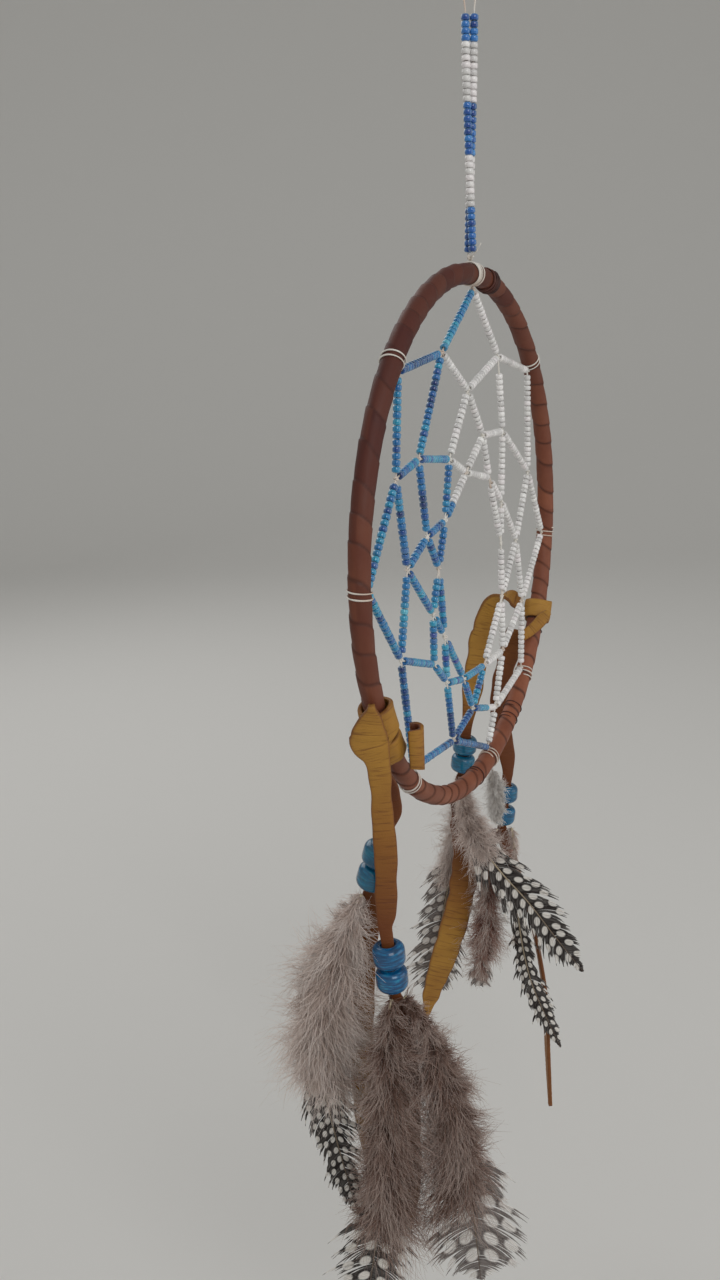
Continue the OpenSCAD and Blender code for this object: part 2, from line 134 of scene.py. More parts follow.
def makeStudio():
    # even air light, three soft lamps and the floor
    world = bpy.data.worlds.new("air")
    world.use_nodes = True
    world.node_tree.nodes["Background"].inputs[0].default_value = (*studio["air"], 1.0)
    scene.world = world
    for name, values in studio["lamps"].items():
        makeLight(name, *values)
    makeFloor()


makeCamera()
makeStudio()
scene.view_settings.view_transform = "Standard"
print("camera and studio stand")


def tint(red, green, blue):
    # an 8-bit screen colour as a linear one, by the 2.2 power
    return tuple(float(c) for c in (np.array([red, green, blue]) / 255.0) ** 2.2) + (1.0,)


def tints(*rows):
    # ramp stops from (place, red, green, blue) rows
    return [(place, tint(*colour)) for place, *colour in rows]


def add(tree, kind, inputs=None, **settings):
    # one node, with its settings and its inputs: a socket is linked and a value is set
    made = tree.nodes.new("ShaderNode" + kind)
    for key, value in settings.items():
        setattr(made, key, value)
    for key, value in (inputs or {}).items():
        if isinstance(value, bpy.types.NodeSocket):
            tree.links.new(value, made.inputs[key])
        else:
            made.inputs[key].default_value = value
    return made


def blendColours(tree, amount, low, high):
    return add(tree, "Mix", {0: amount, 6: low, 7: high}, data_type="RGBA").outputs[2]


def ramp(tree, value, stops):
    # a straight colour ramp with (place, colour) stops
    made = add(tree, "ValToRGB", {0: value})
    while len(made.color_ramp.elements) < len(stops):
        made.color_ramp.elements.new(0.5)
    for element, (place, colour) in zip(made.color_ramp.elements, stops):
        element.position, element.color = place, colour
    return made.outputs[0]


def fade(tree, value, start, low, end, high):
    # grey levels: low up to the start, high past the end, and a straight climb between
    return ramp(tree, value, [(start, (low, low, low, 1.0)), (end, (high, high, high, 1.0))])


def calculate(tree, operation, *values):
    return add(tree, "Math", dict(enumerate(values)), operation=operation).outputs[0]


def noise(tree, where, scale, detail=3.0, rough=0.5):
    return add(tree, "TexNoise", {"Vector": where, "Scale": scale, "Detail": detail,
                                  "Roughness": rough}).outputs["Fac"]


def attribute(tree, name, kind="Fac"):
    return add(tree, "Attribute", attribute_name=name).outputs[kind]


def objectPlace(tree):
    return add(tree, "TexCoord").outputs["Object"]


def stretch(tree, where, scale):
    return add(tree, "Mapping", {"Vector": where, "Scale": scale}).outputs[0]


def finishOf(name, build, **constants):
    # a Principled material: build returns the linked sockets, and constants are set on the shader
    made = bpy.data.materials.new(name)
    made.use_nodes = True
    tree = made.node_tree
    shader = tree.nodes["Principled BSDF"]
    for key, value in constants.items():
        shader.inputs[key.replace("_", " ")].default_value = value
    for key, socket in build(tree).items():
        tree.links.new(socket, shader.inputs[key])
    return made


def bump(tree, height, strength, distance):
    # a normal tilted by the slope of the height
    return add(tree, "Bump", {"Height": height, "Strength": strength, "Distance": distance}).outputs[0]


def wrapLeather(tree):
    # thin red-brown leather: a light and dark mottle, with painted light and shade round the hoop,
    # darker towards each turn's cut edge, partly its own colour and partly a painted shadow under the step
    where = objectPlace(tree)
    mottle = noise(tree, where, 90.0, 4.0, 0.6)
    grain = noise(tree, where, 1500.0, 3.0, 0.6)
    # painted light and shade: the tone is lighter on one side of the hoop and darker on the other, mixed with
    # each turn's own random tone
    base = blendColours(tree, attribute(tree, "tone"), tint(70, 32, 27), tint(154, 93, 66))
    colour = blendColours(tree, fade(tree, mottle, 0.35, 0.0, 0.7, 0.5), base, tint(92, 46, 36))
    # partly painted shadow: the edge mark darkens the cut edge, its own darker colour, and the foot of each
    # step, where the turn above casts shade
    colour = blendColours(tree, attribute(tree, "edge"), colour, tint(38, 14, 12))
    height = calculate(tree, "MULTIPLY_ADD", grain, 0.6, 0.2)
    return {"Base Color": colour, "Normal": bump(tree, height, 0.35, 0.0002),
            "Roughness": fade(tree, mottle, 0.3, 0.5, 0.8, 0.7)}


def thongLeather(tree):
    # mustard-tan leather: fine cross wrinkles with painted shade in their hollows, orange-brown lower
    # down, darker rubbed edges
    along = attribute(tree, "grain", "Vector")
    patch = noise(tree, objectPlace(tree), 60.0, 3.0, 0.5)
    wrinkle = noise(tree, stretch(tree, along, (0.12, 1.7, 0.3)), 1.0, 3.0, 0.6)
    pores = noise(tree, objectPlace(tree), 2200.0, 2.0, 0.5)
    base = ramp(tree, attribute(tree, "tone"),
                tints((0.0, 70, 30, 15), (0.3, 106, 58, 27), (0.7, 148, 100, 43), (1.0, 176, 130, 56)))
    colour = blendColours(tree, fade(tree, patch, 0.35, 0.0, 0.75, 0.55), base, tint(116, 67, 30))
    # painted shade: the wrinkles' hollows, low in the same noise that bumps the surface, are darkened
    colour = blendColours(tree, fade(tree, wrinkle, 0.34, 0.55, 0.46, 0.0), colour, tint(92, 50, 28))
    colour = blendColours(tree, attribute(tree, "edge"), colour, tint(112, 66, 38))
    height = calculate(tree, "MULTIPLY_ADD", pores, 0.25, 0.0)
    height = calculate(tree, "ADD", height, wrinkle)
    return {"Base Color": colour, "Normal": bump(tree, height, 0.6, 0.0004)}


def seedGlass(tree, stops):
    # glass seed beads: each bead takes its own colour from the ramp, with a painted pale sheen at its
    # rim, where the surface turns away from the view
    colour = ramp(tree, attribute(tree, "tone"), stops)
    swirl = noise(tree, objectPlace(tree), 900.0, 2.0, 0.5)
    paler = add(tree, "LayerWeight", {"Blend": 0.35}).outputs["Facing"]
    # painted sheen: the colour is mixed towards pale blue where the bead turns edge-on to the view
    colour = blendColours(tree, calculate(tree, "MULTIPLY", paler, 0.55), colour, tint(150, 205, 225))
    return {"Base Color": colour, "Roughness": fade(tree, swirl, 0.3, 0.10, 0.8, 0.26)}


def webBlue(tree):
    # from deep blue through turquoise, with an odd violet or pale bead
    return seedGlass(tree, tints((0.0, 14, 42, 104), (0.25, 18, 74, 146), (0.5, 22, 112, 172),
                                 (0.72, 40, 150, 184), (0.88, 54, 60, 146), (1.0, 90, 178, 200)))


def loopBlue(tree):
    # cobalt, a little darker and lighter from bead to bead
    return seedGlass(tree, tints((0.0, 12, 54, 130), (0.5, 22, 88, 172), (1.0, 50, 126, 200)))


def pearlGlass(tree):
    # pearl-white beads with a faint pink and grey lustre
    colour = ramp(tree, attribute(tree, "tone"), tints((0.0, 206, 204, 202), (0.5, 230, 229, 226),
                                                       (0.8, 236, 230, 230), (1.0, 245, 244, 241)))
    streak = noise(tree, objectPlace(tree), 700.0, 3.0, 0.5)
    return {"Base Color": blendColours(tree, fade(tree, streak, 0.4, 0.0, 0.8, 0.5), colour,
                                       tint(214, 211, 214))}


def crowGlass(tree):
    # opaque turquoise glass, drawn out in streaks round the bead
    around = attribute(tree, "grain", "Vector")
    streak = noise(tree, stretch(tree, around, (0.9, 0.9, 5.5)), 1.6, 4.0, 0.55)
    cloud = noise(tree, around, 1.1, 2.0, 0.5)
    colour = ramp(tree, streak, tints((0.30, 4, 40, 80), (0.46, 6, 64, 112), (0.56, 9, 86, 138),
                                      (0.72, 36, 134, 172)))
    colour = blendColours(tree, calculate(tree, "MULTIPLY", cloud, attribute(tree, "tone")), colour,
                          tint(34, 122, 138))
    return {"Base Color": colour, "Normal": bump(tree, streak, 0.12, 0.0003)}


def fibre(patches, clean, stained):
    # waxed thread with fine fuzz, stained in patches from the clean colour to the other
    def build(tree):
        stain = noise(tree, objectPlace(tree), patches, 2.0, 0.5)
        fuzz = noise(tree, objectPlace(tree), 6000.0, 2.0, 0.6)
        return {"Base Color": ramp(tree, stain, tints(clean, stained)),
                "Normal": bump(tree, fuzz, 0.4, 0.0001)}
    return build


def steelWire(tree):
    # drawn wire, smoother and rougher in patches
    drawn = noise(tree, objectPlace(tree), 1400.0, 3.0, 0.6)
    return {"Roughness": fade(tree, drawn, 0.3, 0.25, 0.8, 0.5)}


def spotted(ground, spot, rim):
    # a guinea-fowl vane: rows of oval spots on a ground, each with a dark ring, barbs in and out of tone
    ground, spot, rim = tint(*ground), tint(*spot), tint(*rim)

    def build(tree):
        where = attribute(tree, "grain", "Vector")
        cell = add(tree, "TexVoronoi", {"Vector": where, "Scale": 1.0, "Randomness": 0.3},
                   voronoi_dimensions="2D").outputs["Distance"]
        inside = fade(tree, cell, 0.27, 1.0, 0.36, 0.0)
        ring = ramp(tree, cell, [(0.34, (0, 0, 0, 1)), (0.42, (1, 1, 1, 1)), (0.5, (0, 0, 0, 1))])
        wander = noise(tree, where, 0.6, 2.0, 0.5)
        colour = blendColours(tree, attribute(tree, "tone"), ground, spot)
        colour = blendColours(tree, calculate(tree, "MULTIPLY", wander, 0.35), colour, rim)
        colour = blendColours(tree, calculate(tree, "MULTIPLY", ring, 0.55), colour, rim)
        return {"Base Color": blendColours(tree, inside, colour, spot)}
    return build


def downy(root, middle, tip):
    # down: dark at the quill and paler towards each barb's end
    def build(tree):
        cloud = noise(tree, objectPlace(tree), 75.0, 3.0, 0.6)
        along = calculate(tree, "MULTIPLY_ADD", cloud, 0.9, -0.42)
        along = calculate(tree, "ADD", along, attribute(tree, "tone"))
        return {"Base Color": ramp(tree, along, tints((0.05, *root), (0.5, *middle), (1.0, *tip)))}
    return build


def quillHorn(tree):
    # pale horn at the root and brown at the tip
    return {"Base Color": ramp(tree, attribute(tree, "tone"),
                               tints((0.0, 206, 190, 160), (1.0, 84, 66, 56)))}


glassCoat = {"Coat_Weight": 0.6, "Coat_Roughness": 0.05, "IOR": 1.52}
vaneSheen = {"Roughness": 0.55, "Specular_IOR_Level": 0.3}
paleVaneSheen = {"Roughness": 0.6, "Specular_IOR_Level": 0.3}
downSheen = {"Roughness": 0.9, "Specular_IOR_Level": 0.1}
recipes = {
    "wrapLeather": (wrapLeather, {"Specular_IOR_Level": 0.35}),
    "thongLeather": (thongLeather, {"Roughness": 0.62, "Specular_IOR_Level": 0.35}),
    "webBlue": (webBlue, glassCoat),
    "loopBlue": (loopBlue, glassCoat),
    "pearl": (pearlGlass, {"Roughness": 0.28, "Coat_Weight": 0.4, "Coat_Roughness": 0.12}),
    "crowGlass": (crowGlass, {"Roughness": 0.2, "Coat_Weight": 0.3, "Coat_Roughness": 0.05}),
    "thread": (fibre(70.0, (0.45, 226, 222, 214), (0.7, 204, 180, 162)), {"Roughness": 0.6}),
    "darkThread": (fibre(120.0, (0.4, 48, 24, 20), (0.7, 88, 46, 36)), {"Roughness": 0.6}),
    "steel": (steelWire, {"Metallic": 1.0, "Base_Color": (0.55, 0.55, 0.57, 1.0)}),
    "darkVane": (spotted((46, 38, 36), (226, 221, 214), (22, 17, 17)), vaneSheen),
    "greyVane": (spotted((128, 120, 116), (226, 221, 216), (84, 76, 74)), paleVaneSheen),
    "brownDown": (downy((78, 54, 46), (134, 108, 97), (188, 170, 161)), downSheen),
    "greyDown": (downy((156, 134, 123), (212, 193, 183), (234, 222, 215)), downSheen),
    "redDown": (downy((120, 76, 66), (166, 132, 120), (212, 200, 192)), downSheen),
    "whiteDown": (downy((176, 168, 160), (206, 200, 194), (226, 222, 218)), downSheen),
    "quill": (quillHorn, {"Roughness": 0.4}),
}
finishes = {name: finishOf(name, build, **constants) for name, (build, constants) in recipes.items()}
print("finishes are mixed")


def volumeOf(points, faces):
    # the signed volume inside a closed mesh: every face as a fan of corners, summed as triple products
    total = 0.0
    for block in faces:
        corner = points[block]
        for k in range(1, block.shape[1] - 1):
            total += np.einsum("ij,ij->i", corner[:, 0], np.cross(corner[:, k], corner[:, k + 1])).sum()
    return total


def makePiece(name, parts, body, finish, replaces=()):
    # joins parts (points, faces, values) into one object; values are numbers or vectors at the points
    points, faces, values, start = [], {}, {}, 0
    for part in parts:
        points.append(part["points"])
        flip = volumeOf(part["points"], part["faces"]) < 0
        for block in part["faces"]:
            block = block[:, ::-1] if flip else block
            faces.setdefault(block.shape[1], []).append(block + start)
        for key in ("grain", "tone", "edge"):
            wide = 3 if key == "grain" else 1
            given = part.get(key, np.zeros((len(part["points"]), wide)))
            values.setdefault(key, []).append(np.reshape(given, (-1, wide)))
        start += len(part["points"])
    blocks = [np.concatenate(block) for block in faces.values()]
    mesh = bpy.data.meshes.new(name)
    mesh.vertices.add(start)
    mesh.vertices.foreach_set("co", np.concatenate(points).astype(np.float32).ravel())
    corners = np.concatenate([block.ravel() for block in blocks]).astype(np.int32)
    counts = np.concatenate([np.full(len(block), block.shape[1]) for block in blocks])
    mesh.loops.add(len(corners))
    mesh.loops.foreach_set("vertex_index", corners)
    mesh.polygons.add(len(counts))
    starts = np.concatenate([[0], np.cumsum(counts)[:-1]]).astype(np.int32)
    mesh.polygons.foreach_set("loop_start", starts)
    mesh.polygons.foreach_set("use_smooth", np.ones(len(counts), bool))
    for key, lists in values.items():
        kind, field = ("FLOAT_VECTOR", "vector") if key == "grain" else ("FLOAT", "value")
        layer = mesh.attributes.new(key, kind, "POINT")
        layer.data.foreach_set(field, np.concatenate(lists).astype(np.float32).ravel())
    mesh.update(calc_edges=True)
    mesh.validate()
    mesh.materials.append(finishes[finish])
    piece = bpy.data.objects.new(name, mesh)
    scene.collection.objects.link(piece)
    if body:
        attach(piece, body)
    if replaces:
        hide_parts(*replaces)
    return piece


def smoothLine(rows, count):
    # Catmull-Rom line through the rows, all columns alike, at even steps of its length
    rows = np.asarray(rows, float)
    ends = np.vstack([2 * rows[0] - rows[1], rows, 2 * rows[-1] - rows[-2]])
    t = np.linspace(0, len(rows) - 1, 60 * (len(rows) - 1) + 1)
    i = np.minimum(t.astype(int), len(rows) - 2)
    f = (t - i)[:, None]
    a, b, c, d = ends[i], ends[i + 1], ends[i + 2], ends[i + 3]
    fine = 0.5 * (2 * b + (c - a) * f + (2 * a - 5 * b + 4 * c - d) * f ** 2
                  + (3 * b - a - 3 * c + d) * f ** 3)
    run = np.concatenate([[0], np.cumsum(np.linalg.norm(np.diff(fine[:, :3], axis=0), axis=1))])
    even = np.linspace(0, run[-1], count)
    return np.stack([np.interp(even, run, column) for column in fine.T], 1), run[-1]


def framesAlong(line, turn):
    # along the line; across it, towards the turn from +X; and out, square to both
    along = unit(np.gradient(line, axis=0))
    turn = np.radians(np.broadcast_to(turn, len(line)))
    wide = np.stack([np.cos(turn), np.sin(turn), 0 * turn], 1)
    out = unit(np.cross(along, wide))
    return along, np.cross(out, along), out


def roundFrames(along):
    # frames for a round tube: across is square to the line and to one fixed slant, and out to both
    across = unit(np.cross(along, [0.31, 0.83, 0.47]))
    return across, np.cross(along, across)


def circleOf(angle, across, out):
    # unit circles: the cosine of each angle times across, plus its sine times out
    return np.cos(angle)[:, None] * across[..., None, :] + np.sin(angle)[:, None] * out[..., None, :]


def fullTurn(count):
    # that many even angles round a circle
    return np.linspace(0, 2 * np.pi, count, endpoint=False)


def boxy(wave, power):
    # a sine or cosine drawn towards its ends by the power, so that a circle becomes a rounded oblong
    return np.sign(wave) * np.abs(wave) ** power


def tubes(rings, looped=False):
    # faces for n tubes from their rings (n, rings, sides, 3), each capped at both ends; looped joins the
    # last ring to the first instead
    n, count, sides = rings.shape[:3]
    index = np.arange(n * count * sides).reshape(n, count, sides)
    a, b = (index, np.roll(index, -1, 1)) if looped else (index[:, :-1], index[:, 1:])
    quads = np.stack([a, np.roll(a, -1, 2), np.roll(b, -1, 2), b], -1).reshape(-1, 4)
    caps = [] if looped else [np.concatenate([index[:, 0, ::-1], index[:, -1]])]
    return {"points": rings.reshape(-1, 3), "faces": [quads] + caps}


def onGrid(size, *columns):
    # columns spread over the whole grid, one row of values for each point
    return np.stack([np.broadcast_to(column, size) for column in columns], -1).reshape(-1, len(columns))


def waves(x, count, low, high, seed):
    # a smooth random wave: count sines of random frequency from low to high, scaled to about 1
    own = np.random.default_rng(seed)
    speed = own.uniform(low, high, count)
    phase = own.uniform(0, 2 * np.pi, count)
    return np.sin(np.multiply.outer(x, speed) + phase).sum(-1) / np.sqrt(count)


def roundCord(line, radius, sides=8, twist=None):
    # a tube of that radius; with twist, an oval section that turns once each twist, like plied thread
    across, out = roundFrames(unit(np.gradient(line, axis=0)))
    run = np.concatenate([[0], np.cumsum(np.linalg.norm(np.diff(line, axis=0), axis=1))])
    angle = fullTurn(sides)
    reach = np.full((len(line), sides), 1.0)
    if twist:
        reach = 0.84 + 0.16 * np.cos(2 * (angle[None] - 2 * np.pi * run[:, None] / twist))
    reach = reach * np.reshape(radius, (-1, 1))
    return tubes((line[:, None] + reach[..., None] * circleOf(angle, across, out))[None])


seedBead = {"diameter": 2.2, "length": 1.5, "pitch": 1.65, "hole": 0.8, "threadRadius": 0.25}    # mm


def beadParts(middles, axes, tones, swell=1.0):
    # round-shouldered beads with a hole: a closed profile of six points turned round each axis, with
    # small changes of size and tilt from bead to bead
    count = len(middles)
    radius, half, hole = (seedBead[key] / 2 * mm for key in ("diameter", "length", "hole"))
    reach = np.array([hole, 0.74 * radius, radius, radius, 0.74 * radius, hole])
    rise = np.array([-0.75 * half, -half, -0.6 * half, 0.6 * half, half, 0.75 * half])
    axes = unit(axes + dice.normal(0, 0.05, (count, 3)))
    across = unit(np.cross(axes, [0.2, 1.0, 0.35]))
    out = np.cross(axes, across)
    wide = swell * dice.uniform(0.95, 1.03, (count, 1, 1, 1))
    tall = dice.uniform(1.0, 1.08, (count, 1, 1, 1))
    circle = circleOf(fullTurn(10), across, out)[:, :, None]
    rings = (middles[:, None, None] + wide * reach[None, None, :, None] * circle
             + tall * rise[None, None, :, None] * axes[:, None, None])
    part = tubes(rings, looped=True)
    part["tone"] = np.repeat(tones, 60)
    return part


loopMake = {
    "foot": 0.150 - 0.075, "pairRadius": 1.2 * mm, "bendRadius": 2.0 * mm, "threadRadius": 0.25 * mm,
    "turnAtFoot": 61.0, "turn": -125.0, "turnRun": 70.0, "beadLow": 5.7, "beadHigh": 66.0,
    "bendFoot": 73.25, "bandHeights": [17.2, 30, 44.4, 58.7, 90],
}


def pairAngle(height):
    # the two strands turn round each other in step with the height, in millimetres above the hoop tube
    return np.radians(loopMake["turnAtFoot"] + loopMake["turn"] * height / loopMake["turnRun"])


def strandPoint(height, side):
    # two strands on opposite sides of a circle that widens above the beads, up to the bend
    grow = np.clip((height - loopMake["beadHigh"]) / (loopMake["bendFoot"] - loopMake["beadHigh"]), 0, 1)
    reach = side * (loopMake["pairRadius"] + grow * (loopMake["bendRadius"] - loopMake["pairRadius"]))
    angle = pairAngle(height)
    return np.stack([reach * np.cos(angle), reach * np.sin(angle), height * mm - loopMake["foot"]], -1)


def loopRoute():
    # up one strand, over the bend in a half circle, and down the other
    rise = np.linspace(loopMake["beadLow"] - 0.6, loopMake["bendFoot"], 60)
    bend = np.radians(np.linspace(0, 180, 17)[1:-1])
    top = pairAngle(loopMake["bendFoot"])
    reach = loopMake["bendRadius"]
    over = np.stack([reach * np.cos(bend) * np.cos(top), reach * np.cos(bend) * np.sin(top),
                     loopMake["bendFoot"] * mm - loopMake["foot"] + reach * np.sin(bend)], 1)
    return np.vstack([strandPoint(rise, 1), over, strandPoint(rise[::-1], -1)])


def makeLoopBeads():
    # blue and white lengths by height, on both strands; returns the pieces
    pieces = []
    heights = loopMake["beadLow"] + (np.arange(36) + 0.5) * seedBead["pitch"]
    blue = np.searchsorted(loopMake["bandHeights"], heights, side="right") % 2 == 0
    for name, want, finish, node, slot in (
            ("loopBlueBeads", True, "loopBlue", "loop_blue_beads", "loop_blue_beads"),
            ("loopWhiteBeads", False, "pearl", "loop_white_beads", "pearl_seed_beads")):
        chosen = heights[blue == want]
        middles = np.vstack([strandPoint(chosen, 1), strandPoint(chosen, -1)])
        axes = np.tile([0.0, 0.0, 1.0], (len(middles), 1))
        part = beadParts(middles, axes, dice.uniform(0, 1, len(middles)), 1.07)
        pieces.append(makePiece(name, [part], "loop", finish, [node]))
    return pieces


def makeLoopThread(beads):
    # one plied thread up, over the hook and down, through the beads
    line, length = smoothLine(loopRoute(), 420)
    piece = makePiece("loopThread", [roundCord(line, loopMake["threadRadius"], 8, 1.3 * mm)], "loop",
                      "thread", ["loop_thread"])
    print("loop thread", round(length * 1000, 1), "mm")


makeLoopThread(makeLoopBeads())


crow = {"diameter": 9.0 * mm, "length": 6.8 * mm, "hole": 4.0 * mm, "around": 56}
crowSets = {     # the pair's top, its way down, the gap between the two, and a tone
    "left_front": ([-0.0641, 0.0001, -0.248], [0.06, -0.08, -1], 0.0003, 0.25),
    "left_back": ([-0.0575, 0.0041, -0.2227], [0, 0.29, -1], 0.0003, 0.8),
    "right_front": ([0.062, 0.0094, -0.251], [0, 0.09, -1], 0.0021, 0.6),
    "right_back": ([0.059, 0.0242, -0.2333], [0, 0.12, -1], 0.0003, 0.7),
}


def pieceName(tail):
    side, place = tail.split("_")
    return side + place.capitalize()


def arc(x, z, r, start, end, count):
    # points round a centre (x, z), from the start angle to the end
    a = np.radians(np.linspace(start, end, count))
    return np.stack([x + r * np.cos(a), z + r * np.sin(a)], 1)


def crowProfile():
    # half the bead's section: a fat shoulder round the outside and a small lip at the hole
    outer, inner, half = crow["diameter"] / 2, crow["hole"] / 2, crow["length"] / 2
    big, small = 2.1 * mm, 0.6 * mm
    return np.vstack([arc(inner + small, half - small, small, 90, 180, 5),
                      arc(inner + small, small - half, small, 180, 270, 5),
                      arc(outer - big, big - half, big, -90, 0, 9),
                      arc(outer - big, half - big, big, 0, 90, 9)])


def makeCrowBeads():
    # the section turned round the thong's line; the glass is a little uneven, as a wound bead is
    profile = crowProfile()
    angle = fullTurn(crow["around"])
    pairs = {}
    for tail, (top, down, gap, tone) in crowSets.items():
        name = pieceName(tail)
        down = unit(np.array(down, float))
        across = unit(np.cross(down, [0.3, 1.0, 0.2]))
        out = np.cross(down, across)
        for index, which in enumerate(("upper", "lower")):
            middle = np.array(top) + down * (crow["length"] / 2 + index * (crow["length"] + gap))
            own = 100 * len(name) + index
            lean = 1 - 0.02 * (1 + waves(np.cos(angle)[:, None] * 2 + profile[None, :, 1] / mm * 0.4,
                                         3, 0.6, 1.8, own))
            reach = profile[None, :, 0] * np.clip(lean, 0.94, 1.0)
            drawn = waves(np.sin(angle), 3, 0.8, 1.6, own + 7)[:, None]
            rise = profile[None, :, 1] * (1 + 0.03 * drawn - 0.03)
            circle = circleOf(angle, across, out)[:, None]
            rings = middle + reach[..., None] * circle + rise[..., None] * down
            part = tubes(rings[None], looped=True)
            grain = np.stack([reach / mm * np.cos(angle)[:, None], reach / mm * np.sin(angle)[:, None],
                              rise / mm + 20 * index + 40 * tone + 0 * reach], -1) / 4.5
            part["grain"] = grain.reshape(-1, 3)
            part["tone"] = np.full(reach.size, tone)
            made = makePiece(name + which.capitalize() + "Bead", [part], tail + "_beads", "crowGlass",
                             [tail + "_" + which + "_bead"])
            pairs.setdefault(tail, []).append(made)
    return pairs


crowPairs = makeCrowBeads()
print("crow beads are threaded")


leather = {"thickness": 1.6 * mm, "faceTurn": -64.0, "sides": 24, "step": 0.6 * mm, "boxy": 0.34,
           "crown": 0.15, "wrinkle": 0.05 * mm}
leftFrontRoute = [
    [-0.075, -0.0023, -0.178, 0.0008], [-0.0746, -0.0021, -0.1793, 0.0012],
    [-0.0739, -0.0016, -0.1813, 0.0025], [-0.0732, -0.0009, -0.1837, 0.0035],
    [-0.0726, -0.0003, -0.1859, 0.0044],
    [-0.072, 0, -0.1874, 0.0047], [-0.0716, 0.0003, -0.1884, 0.0049], [-0.0707, 0, -0.1906, 0.0044],
    [-0.0691, -0.0006, -0.194, 0.0034], [-0.0678, -0.0007, -0.1995, 0.0029],
    [-0.0663, -0.0004, -0.21, 0.0028], [-0.0653, -0.0006, -0.222, 0.003],
    [-0.0648, -0.0002, -0.232, 0.0029], [-0.0645, 0, -0.2385, 0.0028],
    [-0.0644, 0.0005, -0.2428, 0.0019], [-0.0641, 0.0001, -0.2474, 0.0018],
    [-0.0632, -0.0011, -0.2624, 0.0015], [-0.0629, -0.0013, -0.264, 0.0016],
    [-0.0606, -0.0015, -0.271, 0.003],
    [-0.0584, -0.0015, -0.282, 0.0036], [-0.057, -0.0015, -0.3, 0.0038],
    [-0.0565, -0.0015, -0.32, 0.0036], [-0.0565, -0.0012, -0.334, 0.003],
    [-0.057, -0.001, -0.345, 0.0008],
]
leftBackRoute = [
    [-0.0656, 0.0012, -0.1969, 0.0022], [-0.0634, 0.0014, -0.201, 0.0031],
    [-0.0608, 0.0008, -0.207, 0.0035], [-0.0582, 0.0006, -0.2125, 0.0026],
    [-0.0575, 0.0027, -0.2177, 0.0019], [-0.0575, 0.004, -0.2222, 0.0018],
    [-0.0575, 0.0081, -0.2366, 0.0015],
    [-0.0572, 0.0085, -0.238, 0.0016], [-0.056, 0.0095, -0.244, 0.003],
    [-0.0545, 0.012, -0.258, 0.0036], [-0.054, 0.0135, -0.276, 0.0036],
    [-0.0545, 0.0135, -0.296, 0.0036], [-0.056, 0.0115, -0.315, 0.0032],
    [-0.0575, 0.009, -0.334, 0.0008],
]
rightFrontRoute = [
    [0.0626, 0.0065, -0.192, 0.0032, -64], [0.0624, 0.0095, -0.203, 0.0034, -64],
    [0.062, 0.012, -0.216, 0.0035, -64], [0.062, 0.0115, -0.228, 0.0034, -64],
    [0.062, 0.0094, -0.239, 0.003, -64],
    [0.062, 0.0089, -0.2458, 0.0019, -64], [0.062, 0.0094, -0.2504, 0.0018, -64],
    [0.062, 0.0109, -0.2672, 0.0015, -64],
    [0.0623, 0.0113, -0.2686, 0.0016, -64], [0.0652, 0.0108, -0.276, 0.0026, -30],
    [0.0686, 0.007, -0.29, 0.0036, 10], [0.0694, 0.0026, -0.305, 0.004, 26],
    [0.069, -0.0014, -0.321, 0.004, 26], [0.0684, -0.0046, -0.34, 0.004, 26],
    [0.0678, -0.0062, -0.365, 0.0034, 26], [0.0672, -0.0077, -0.387, 0.0008, 26],
]
rightBackRoute = [
    [0.0656, 0.0054, -0.1836, 0.0044, 0], [0.0638, 0.0092, -0.1804, 0.0044, -15],
    [0.0624, 0.0132, -0.1812, 0.0042, -35], [0.0616, 0.0166, -0.1866, 0.004, -50],
    [0.0611, 0.0184, -0.1938, 0.0038, -58],
    [0.0609, 0.0192, -0.1954, 0.0038, -60], [0.0604, 0.0206, -0.205, 0.0037, -62],
    [0.06, 0.0218, -0.214, 0.0037, -64], [0.0595, 0.0228, -0.222, 0.0028, -64],
    [0.059, 0.0236, -0.2281, 0.0019, -64], [0.059, 0.0242, -0.2328, 0.0018, -64],
    [0.059, 0.0259, -0.2477, 0.0015, -64],
    [0.0589, 0.0261, -0.249, 0.0016, -64], [0.058, 0.026, -0.256, 0.0034, -64],
    [0.057, 0.0245, -0.267, 0.0048, -64], [0.056, 0.0232, -0.28, 0.005, -64],
    [0.056, 0.0257, -0.299, 0.005, -64], [0.056, 0.0315, -0.321, 0.005, -64],
    [0.056, 0.0375, -0.34, 0.0036, -64], [0.056, 0.041, -0.354, 0.0008, -64],
]
rightFoldRoute = [
    [0.0615, -0.0057, -0.1844, 0.0012], [0.0603, -0.0043, -0.1862, 0.002],
    [0.0586, -0.0027, -0.1884, 0.0021], [0.0567, -0.0003, -0.1908, 0.0019],
    [0.0546, 0.0026, -0.1932, 0.0013],
]
leftBight = {"top": [-0.0604, -0.007, -0.1876], "foot": [-0.0596, -0.007, -0.199], "outer": 2.3 * mm,
             "inner": 1.1 * mm}


